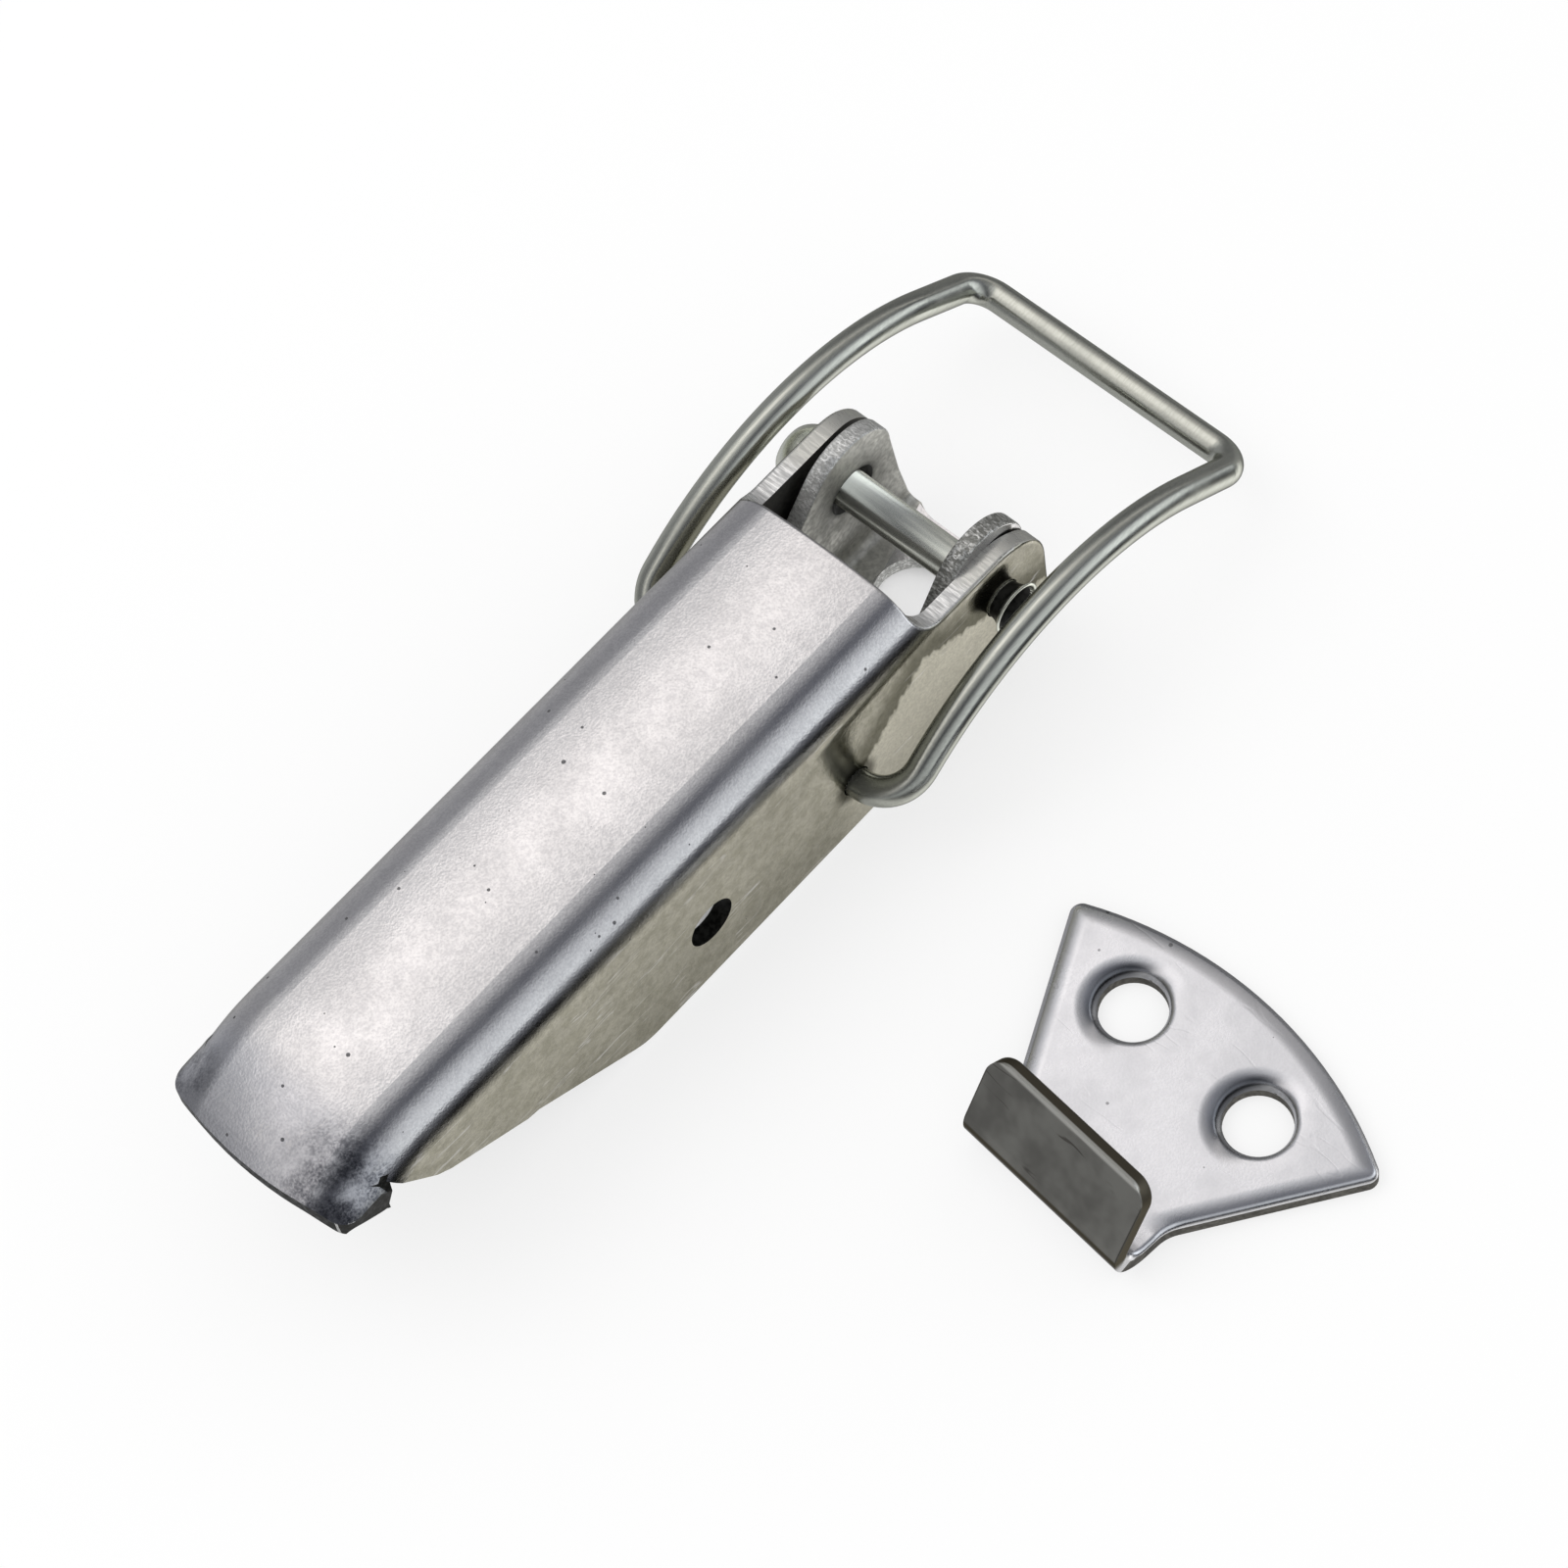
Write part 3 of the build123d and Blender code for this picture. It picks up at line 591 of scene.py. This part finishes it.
def torn_edge():
    """Torn cut edge of the base: coarse dark fracture with bright flecks, darker on the near ear as painted
    shadow.
    """
    material, tree, metal, place = new_metal("torn_edge")
    axis = axes(tree, place)
    score = use(tree, shear_lines, Place=place, Stretch=(1.0, 0.32, 1.0), Pitch=0.24 * MM)
    fleck = noise(tree, stretched(tree, place, (1.0, 0.6, 1.0)), 1.0 / FLECK_SIZE, 2.0, 0.7)
    # painted shadow: darker colours on the near ear
    near = ramp(tree, axis["Y"], *NEAR_SIDE)
    low = mix(tree, near, (0.52, 0.52, 0.50), (0.24, 0.24, 0.22))
    high = mix(tree, near, (0.97, 0.97, 0.95), (0.86, 0.86, 0.83))
    bright = product(tree, score["Lines"], ramp(tree, fleck, 0.40, 0.58))
    metal.inputs["Metallic"].default_value = 0.8
    tree.links.new(mix(tree, bright, low, high), metal.inputs["Base Color"])
    tree.links.new(ramp(tree, bright, 0.0, 1.0, 0.50, 0.30), metal.inputs["Roughness"])
    bump(tree, metal, maths(tree, "ADD", score["Height"], fleck), depth=0.05 * MM)
    return material


def drawn_wire(finish):
    """Drawn and polished wire: long faint die lines."""
    material, tree, metal, place = new_metal("drawn_wire")
    lines = use(tree, shear_lines, Place=place, Stretch=(0.05, 1.0, 1.0), Pitch=0.12 * MM)
    grain = use(tree, plating_grain, Place=place, Cell=finish.grain_size)
    colour = mix(tree, product(tree, lines["Lines"], 0.5), finish.wire,
                 tuple(0.78 * c for c in finish.wire))
    tree.links.new(colour, metal.inputs["Base Color"])
    rough = ramp(tree, grain["Cloud"], 0.0, 1.0, finish.wire_roughness, finish.wire_roughness + 0.1)
    tree.links.new(rough, metal.inputs["Roughness"])
    metal.inputs["Metallic"].default_value = 0.96
    bump(tree, metal, lines["Height"], depth=0.003 * MM)
    return material


def turned_rivet(finish):
    """Turned rivet: rings round its axis."""
    material, tree, metal, place = new_metal("turned_rivet")
    rings = use(tree, shear_lines, Place=place, Stretch=(0.05, 1.0, 0.05), Pitch=0.16 * MM)
    bright = tuple(1.48 * c for c in finish.wire)
    ringed = tuple(1.38 * c for c in finish.wire)
    colour = mix(tree, product(tree, rings["Lines"], 0.25), bright, ringed)
    tree.links.new(colour, metal.inputs["Base Color"])
    tree.links.new(ramp(tree, rings["Lines"], 0.0, 1.0, 0.24, 0.27), metal.inputs["Roughness"])
    metal.inputs["Metallic"].default_value = 0.92
    bump(tree, metal, rings["Height"], depth=0.0006 * MM)
    return material


def rolled(tree, inside, width, radius):
    """Height of a surface that rolls down over a width before an edge: 0 on the flat, then negative."""
    short = maths(tree, "MAXIMUM", maths(tree, "SUBTRACT", width, inside), 0.0)
    return product(tree, product(tree, short, short), -0.5 / radius)


def catch_rolls(tree, axis):
    """Normal of the catch plate's top, drawn down towards its punched outline and its holes, and a mask
    of the painted shadow, a dark crescent on the far side of each hole."""
    x, y = axis["X"], maths(tree, "ABSOLUTE", axis["Y"])
    from_crown = distance(tree, maths(tree, "ADD", x, CATCH_ARC_R - CATCH_CROWN), y)
    from_arc = maths(tree, "SUBTRACT", CATCH_ARC_R, from_crown)
    from_side = maths(tree, "ADD", product(tree, x, math.sin(CATCH_SIDE_SLOPE)),
                      maths(tree, "MULTIPLY_ADD", y, -math.cos(CATCH_SIDE_SLOPE), CATCH_SIDE))
    from_edge = maths(tree, "SMOOTH_MIN", from_arc, from_side, CATCH_CORNER_R)
    past_hole = maths(tree, "SUBTRACT", y, CATCH_HOLE_Y)
    from_hole = maths(tree, "SUBTRACT", distance(tree, x, past_hole), CATCH_HOLE_R)
    edge = product(tree, rolled(tree, from_edge, EDGE_ROLL_WIDTH, EDGE_ROLL_R),
                   ramp(tree, x, *EDGE_ROLL_START))
    # the punch has drawn each hole in deeper on its far side
    farther = product(tree, past_hole, maths(tree, "SIGN", axis["Y"]))
    drawn = ramp(tree, farther, *HOLE_FAR_SIDE, 0.1, 1.0)
    hole = product(tree, rolled(tree, from_hole, HOLE_ROLL_WIDTH, HOLE_ROLL_R), drawn)
    both = maths(tree, "ADD", edge, hole)
    # painted shadow on the far side of each hole
    crescent = product(tree, ramp(tree, from_hole, *CRESCENT_WIDTH), ramp(tree, farther, *CRESCENT_SIDE))
    return put(tree, "ShaderNodeBump", None, Strength=1.0, Distance=1.0, Height=both).outputs[0], crescent


def lip_tones(tree, axis, grain, marks):
    """Mask of the catch plate's lip, all but its inner face, and its dull colour with scratches, darkened as
    painted shade, with a painted highlight on its top corner.
    """
    through = maths(tree, "ADD", axis["X"], product(tree, axis["Z"], -LIP_SLOPE))
    lip = product(tree, ramp(tree, through, *LIP_INNER), ramp(tree, axis["Z"], *LIP_FOOT))
    # painted shade: the lip's face is much darker than the plate's top
    dull = mix(tree, grain["Cloud"], (0.35, 0.345, 0.315), (0.24, 0.235, 0.215))
    dull = mix(tree, product(tree, marks, 0.9), dull, (0.10, 0.09, 0.08))
    cut_ends = ramp(tree, maths(tree, "ABSOLUTE", axis["Y"]), *LIP_CUT_ENDS)
    dull = mix(tree, cut_ends, dull, (0.12, 0.115, 0.10))
    # its cut top is brown, behind a painted highlight along the corner
    cut_top = ramp(tree, through, *LIP_CUT_TOP)
    dull = mix(tree, cut_top, dull, (0.13, 0.115, 0.085))
    highlight_z = [CATCH_HIGH.z - drop for drop in LIP_HIGHLIGHT_DROP]
    corner = product(tree, ramp(tree, through, *LIP_HIGHLIGHT), ramp(tree, axis["Z"], *highlight_z))
    return lip, mix(tree, product(tree, corner, 0.8), dull, (0.90, 0.89, 0.82))


def catch_zinc(finish):
    """Smooth plating of the catch plate, dull, scratched and darkened as painted shade on its lip, all but
    the lip's inner face.
    """
    material, tree, metal, place = new_metal("catch_zinc")
    local = put(tree, "ShaderNodeMapping", {"vector_type": "TEXTURE"}, Vector=place, Location=CATCH_MIDDLE,
                Rotation=(0.0, 0.0, CATCH_TURN)).outputs[0]
    axis = axes(tree, local)
    grain = use(tree, plating_grain, Place=local, Cell=finish.grain_size * 0.9)
    pits = use(tree, pitting, Place=local, Spacing=finish.pit_spacing, Share=0.06)["Mask"]
    marks = use(tree, handling_scratches, Place=local, Length=(400.0, 90.0, 700.0), Amount=0.8)["Mask"]

    smooth = mix(tree, product(tree, grain["Speck"], 0.35), finish.catch,
                 tuple(0.85 * c for c in finish.catch))
    smooth = mix(tree, product(tree, grain["Cloud"], 0.3), smooth,
                 tuple(0.9 * c for c in finish.catch))
    rolls, crescent = catch_rolls(tree, axis)
    # painted shadow on the far side of each hole
    smooth = mix(tree, crescent, smooth, (0.16, 0.165, 0.18))

    lip, dull = lip_tones(tree, axis, grain, marks)
    colour = mix(tree, lip, smooth, dull)
    colour = mix(tree, product(tree, pits, 0.6), colour, tuple(finish.pit))
    tree.links.new(colour, metal.inputs["Base Color"])
    rough = maths(tree, "ADD", ramp(tree, lip, 0.0, 1.0, 0.26, 0.44), product(tree, grain["Cloud"], 0.06))
    tree.links.new(rough, metal.inputs["Roughness"])
    height = maths(tree, "SUBTRACT", grain["Height"], product(tree, marks, 0.8))
    fine = put(tree, "ShaderNodeBump", None, Strength=1.0, Distance=0.006 * MM, Height=height)
    tree.links.new(rolls, fine.inputs["Normal"])
    tree.links.new(fine.outputs[0], metal.inputs["Normal"])
    return material


# ---------------------------------------------------------------- choosing faces
def give(node, materials, slot_of=None):
    """Puts the materials in the node's slots, and each face in the slot that slot_of says, or the first."""
    slots = node.data.materials
    slots.clear()
    for material in materials:
        slots.append(material)
    for face in node.data.polygons:
        face.material_index = slot_of(face) if slot_of else 0


def is_sheared(face, wall_in, wall_out):
    """True for the cut edge of a wall: it looks along the sheet, between the wall's two sides."""
    y = abs(face.center.y)
    return abs(face.normal.y) < SHEARED_EDGE and wall_in + EDGE_MARGIN < y < wall_out - EDGE_MARGIN


def faces_axis(face, z):
    """True for a face on the inside of a fold: it looks towards the line along X at height z."""
    centre, normal = face.center, face.normal
    return -centre.y * normal.y + (z - centre.z) * normal.z > INWARD * math.hypot(centre.y, z - centre.z)


def off_axis(face, x, z):
    """Distance of a face from a line across the latch, through x and z."""
    return math.hypot(face.center.x - x, face.center.z - z)


def lever_slot(face):
    """Slot of a face of the lever: holes and tab edge in painted shade, cut wall edges, the inside in painted
    shade, or the plating.
    """
    half = LEVER_HIGH.y
    in_hole = min(off_axis(face, *LOCK_HOLE), off_axis(face, *BAIL_HOLE)) < HOLE_REACH
    below_bend = face.center.z < LEVER_HIGH.z - BEND_DROP
    if in_hole and abs(face.normal.y) < HOLE_WALL:
        return DARK
    if (below_bend or face.center.x > EARS_FROM) and is_sheared(face, half - SHEET, half):
        return CUT
    if face.center.x < LEVER_LOW.x + TAB_LENGTH and abs(face.normal.z) < TAB_EDGE:
        return DARK
    if faces_axis(face, LEVER_HIGH.z / 2) and abs(face.center.y) < half - SHEET + INSIDE_MARGIN:
        return INSIDE
    return PLATED


def base_slot(face):
    """Slot of a face of the base: countersinks in painted shade, cut edges, the inside of the ears, or the
    plating.
    """
    ear_edge = abs(face.normal.y) < EAR_EDGE
    if off_axis(face, RIVET.x, RIVET.z) < COUNTERSINK and ear_edge:
        return DARK
    if (face.center.z > EAR_FOOT and ear_edge) or (face.center.z < SHEET and abs(face.normal.z) < PLATE_EDGE):
        return CUT
    if faces_axis(face, BASE_CHANNEL_Z) and abs(face.center.y) > BASE_FLAT:
        return INSIDE
    return PLATED


def rivet_slot(face):
    """Slot of a face of the rivet: past the lever's near wall it is painted dark as shade, all but the rim of
    its end.
    """
    on_rim = face.center.y < RIVET_LOW.y + RIM_DEPTH and off_axis(face, RIVET.x, RIVET.z) > RIM_INSIDE
    return BORE if face.center.y < LEVER_LOW.y and not on_rim else TURNED


def catch_slot(face):
    """Slot of a face of the catch plate: the punched edge of the plate, or the rest."""
    return PUNCHED if abs(face.normal.z) < CATCH_EDGE and face.center.z < SHEET else SMOOTH


# ---------------------------------------------------------------- pieces set in use
def set_in_use(node, name, body, shape):
    """A copy of a CAD node with each point moved by shape. It stands for the node and rides on its body."""
    piece = bpy.data.objects.new(name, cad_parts[node].data.copy())
    bpy.context.scene.collection.objects.link(piece)
    bpy.ops.object.select_all(action="DESELECT")
    piece.select_set(True)
    bpy.context.view_layer.objects.active = piece
    bpy.ops.object.mode_set(mode="EDIT")
    bpy.ops.mesh.select_all(action="SELECT")
    bpy.ops.mesh.remove_doubles(threshold=WELD)
    bpy.ops.object.mode_set(mode="OBJECT")
    for point in piece.data.vertices:
        point.co = shape(point.co)
    bpy.ops.object.shade_smooth_by_angle(angle=SMOOTH_ANGLE)
    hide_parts(node)
    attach(piece, body)
    return piece


def pressed_over(point):
    """Riveting has pressed both base ears towards the near side, the far one further."""
    up = min(max((point.z - EAR_FOOT) / (BASE_HIGH.z - EAR_FOOT), 0.0), 1.0)
    lean = FAR_EAR_LEAN if point.y > 0 else NEAR_EAR_LEAN
    return Vector((point.x, point.y - lean * up, point.z))


def round_headed(point):
    """The rivet's far head stands up as a round head, up to just inside the bail's leg."""
    seat = LEVER_HIGH.y + END_PLAY
    rise = max(point.y - seat, 0.0) / (RIVET_HIGH.y - seat)
    return Vector((point.x, min(point.y, seat) + rise * HEAD_HEIGHT, point.z))


# ---------------------------------------------------------------- operators
class LATCH_OT_pressed_parts(bpy.types.Operator):
    """Finish the lever and the base in satin zinc with cut edges, and press the base's ears over"""

    bl_idname = "latch.pressed_parts"
    bl_label = "Finish pressed parts"

    def execute(self, context):
        finish = context.scene.latch_finish
        plated, sheared = satin_zinc(finish), sheared_zinc(finish)
        # painted shade, nearly black, for holes, the tab's edge, the countersinks and the rivet's bore
        torn, corner = torn_edge(), painted_shade()
        # the inside of the lever in a dark tone, as painted shade
        inside = inside_zinc("lever_inside_shade", finish.lever_inside_shade)
        give(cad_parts["lever"], (plated, sheared, inside, corner), lever_slot)
        base = set_in_use("base_plate", "riveted_base", "base", pressed_over)
        inside = inside_zinc("base_inside", finish.base_inside)
        give(base, (plated, torn, inside, corner), base_slot)
        return {"FINISHED"}


class LATCH_OT_wire_bail(bpy.types.Operator):
    """Finish the bail as drawn and polished wire"""

    bl_idname = "latch.wire_bail"
    bl_label = "Finish wire bail"

    def execute(self, context):
        give(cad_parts["bail"], [drawn_wire(context.scene.latch_finish)])
        return {"FINISHED"}


class LATCH_OT_rivet(bpy.types.Operator):
    """Set the pivot rivet with a round far head and finish it, painted dark as shade in its bore and neck"""

    bl_idname = "latch.rivet"
    bl_label = "Set rivet"

    def execute(self, context):
        rivet = set_in_use("pivot_rivet", "set_rivet", "base", round_headed)
        give(rivet, (turned_rivet(context.scene.latch_finish), painted_shade()), rivet_slot)
        return {"FINISHED"}


class LATCH_OT_catch_plate(bpy.types.Operator):
    """Finish the catch plate in smooth zinc with a dull, scratched lip, darkened as painted shade"""

    bl_idname = "latch.catch_plate"
    bl_label = "Finish catch plate"

    def execute(self, context):
        finish = context.scene.latch_finish
        materials = catch_zinc(finish), inside_zinc("catch_edge", finish.catch_edge)
        give(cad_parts["catch_plate"], materials, catch_slot)
        return {"FINISHED"}


# ---------------------------------------------------------------- stage
# The studio's panels, by their angle from overhead in degrees, negative to the far side and positive to the
# near: where a panel starts, is at full tone, starts to fade and has faded, and its tone. Where panels lie
# over one another, their tones add.
PANELS = {
    "dark room": ((-200, -190, 97, 110), (0.095, 0.10, 0.12)),
    "far table": ((-200, -190, -145, -75), (0.42, 0.42, 0.42)),
    "far wall": ((-200, -190, -12, 27), (0.20, 0.20, 0.20)),
    "far panel": ((-56, -43, -12, 27), (0.33, 0.33, 0.33)),
    "strip light": ((-37, -29, -19, -8), (0.60, 0.56, 0.54)),
    "near panel": ((27, 60, 84, 93), (0.51, 0.53, 0.55)),
    "near lamp": ((55, 85, 86, 92), (0.13, 0.14, 0.14)),
    "near table": ((112, 142, 165, 190), (0.95, 0.95, 0.95)),
}


def seen(tree):
    """1 for a ray that is seen straight, in a mirror or through glass, and 0 for one that only lights."""
    path = tree.nodes.new("ShaderNodeLightPath").outputs
    mirrored = maths(tree, "ADD", path["Is Glossy Ray"], path["Is Transmission Ray"])
    return maths(tree, "ADD", path["Is Camera Ray"], mirrored, clamp=True)


def lay_floor(stage):
    """A matt light table. It glows, but not where the latch stands over it. The metal doesn't mirror it,
    but the studio dome."""
    bpy.ops.mesh.primitive_plane_add(size=stage.floor_size, location=(0, 0, 0))
    floor = bpy.context.object
    floor.name = "floor"
    material, tree, surface = blank_material("floor")
    matt = put(tree, "ShaderNodeBsdfDiffuse", None, Color=(*stage.floor, 1))
    glow = put(tree, "ShaderNodeEmission", None, Color=(1, 1, 1, 1), Strength=1.0)
    cover = put(tree, "ShaderNodeAmbientOcclusion", {"samples": 8}, Distance=stage.cover_reach)
    lit = product(tree, seen(tree), stage.table_glow)
    share = product(tree, lit, ramp(tree, cover.outputs["AO"], *OPEN_AIR))
    both = put(tree, "ShaderNodeMixShader", None, in0=share, in1=matt.outputs[0], in2=glow.outputs[0])
    tree.links.new(both.outputs[0], surface)
    floor.data.materials.append(material)
    floor.visible_glossy = False


def light_surround(scene, stage):
    """A white surround all round the latch, a little weaker as a light than where it is seen."""
    world = bpy.data.worlds.new("surround")
    scene.world = world
    world.use_nodes = True
    tree = world.node_tree
    tree.nodes.clear()
    strength = ramp(tree, seen(tree), 0.0, 1.0, stage.sky, 1.0)
    sky = put(tree, "ShaderNodeBackground", None, Color=(1, 1, 1, 1), Strength=strength)
    tree.links.new(sky.outputs[0], tree.nodes.new("ShaderNodeOutputWorld").inputs["Surface"])


def hang_softbox(scene):
    """A square lamp above the far side of the tip end. It shines at the origin, and no metal mirrors it."""
    lamp = bpy.data.lights.new("softbox", "AREA")
    lamp.shape = "SQUARE"
    lamp.size = LAMP_SIZE
    lamp.energy = LAMP_POWER
    lamp_object = bpy.data.objects.new("softbox", lamp)
    lamp_object.location = LAMP_PLACE
    lamp_object.rotation_mode = "QUATERNION"
    lamp_object.rotation_quaternion = lamp_object.location.to_track_quat("Z", "Y")
    lamp_object.visible_glossy = False
    scene.collection.objects.link(lamp_object)


def studio_dome(stage):
    """The walls and lamps of the studio, which the metal mirrors. The camera doesn't see them, and they
    light no matt surface and give no shadow."""
    bpy.ops.mesh.primitive_uv_sphere_add(segments=DOME_SEGMENTS, ring_count=DOME_RINGS,
                                         radius=stage.dome_radius)
    dome = bpy.context.object
    dome.name = "studio_dome"
    material, tree, surface = blank_material("studio_dome")
    axis = axes(tree, tree.nodes.new("ShaderNodeTexCoord").outputs["Object"])
    lean = maths(tree, "ARCTAN2", product(tree, axis["Y"], -1.0), axis["Z"])
    ahead = maths(tree, "DIVIDE", axis["X"], stage.dome_radius)
    # the room darkens towards both its ends, but for the lit near side of the front one
    near_side = NEAR_SIDE_SHARE * stage.dome_radius
    end = ramp(tree, axis["Y"], 0.0, near_side, FRONT_FAR_TONE, FRONT_NEAR_TONE)
    front = maths(tree, "MULTIPLY_ADD", ramp(tree, ahead, *FRONT_END), maths(tree, "SUBTRACT", end, 1.0), 1.0)
    fall = product(tree, ramp(tree, ahead, *REAR_END, REAR_TONE, MIDDLE_TONE), front)
    total = (0.0, 0.0, 0.0)
    for angles, tone in PANELS.values():
        start, full, fading, gone = [math.radians(angle) for angle in angles]
        lit = product(tree, ramp(tree, lean, start, full), ramp(tree, lean, fading, gone, 1.0, 0.0))
        panel = put(tree, "ShaderNodeVectorMath", {"operation": "SCALE"}, in0=tone, Scale=lit).outputs[0]
        total = put(tree, "ShaderNodeVectorMath", {"operation": "ADD"}, in0=panel, in1=total).outputs[0]
    strength = product(tree, fall, stage.dome_strength)
    glow = put(tree, "ShaderNodeEmission", None, Color=total, Strength=strength)
    tree.links.new(glow.outputs[0], surface)
    dome.data.materials.append(material)
    dome.visible_camera = False
    dome.visible_shadow = False
    dome.visible_diffuse = False


def set_camera(scene, stage):
    """The camera, above the near side of the tip end."""
    camera = bpy.data.cameras.new("camera")
    camera.lens = stage.lens
    camera.sensor_width = 36.0
    camera.clip_start, camera.clip_end = 0.01, 50.0
    eye = bpy.data.objects.new("camera", camera)
    eye.location = CAMERA_PLACE
    eye.rotation_euler = [math.radians(angle) for angle in CAMERA_TURN]
    scene.collection.objects.link(eye)
    scene.camera = eye


class LATCH_OT_stage(bpy.types.Operator):
    """Lay the floor, the surround, the lamp, the mirrored studio and the camera round the latch"""

    bl_idname = "latch.stage"
    bl_label = "Build stage"

    def execute(self, context):
        scene = context.scene
        stage = scene.latch_stage
        lay_floor(stage)
        light_surround(scene, stage)
        hang_softbox(scene)
        studio_dome(stage)
        set_camera(scene, stage)
        scene.view_settings.view_transform = "Standard"
        return {"FINISHED"}


class LATCH_PT_panel(bpy.types.Panel):
    """Buttons and settings of the toggle latch"""

    bl_idname = "LATCH_PT_panel"
    bl_label = "Toggle latch"
    bl_space_type = "VIEW_3D"
    bl_region_type = "UI"
    bl_category = "Latch"

    def draw(self, context):
        layout = self.layout
        for operator in OPERATORS:
            layout.operator(operator.bl_idname)
        for settings in (context.scene.latch_finish, context.scene.latch_stage):
            column = layout.column()
            for name in settings.__annotations__:
                column.prop(settings, name)


OPERATORS = (LATCH_OT_pressed_parts, LATCH_OT_wire_bail, LATCH_OT_rivet, LATCH_OT_catch_plate, LATCH_OT_stage)
CLASSES = (LatchFinish, LatchStage, *OPERATORS, LATCH_PT_panel)


def register():
    for cls in CLASSES:
        bpy.utils.register_class(cls)
    bpy.types.Scene.latch_finish = PointerProperty(type=LatchFinish)
    bpy.types.Scene.latch_stage = PointerProperty(type=LatchStage)


def unregister():
    del bpy.types.Scene.latch_stage
    del bpy.types.Scene.latch_finish
    for cls in reversed(CLASSES):
        bpy.utils.unregister_class(cls)


def main():
    register()
    bpy.ops.object.select_all(action="DESELECT")
    bpy.ops.latch.pressed_parts()
    bpy.ops.latch.wire_bail()
    bpy.ops.latch.rivet()
    bpy.ops.latch.catch_plate()
    bpy.ops.latch.stage()


if __name__ == "__main__":
    main()
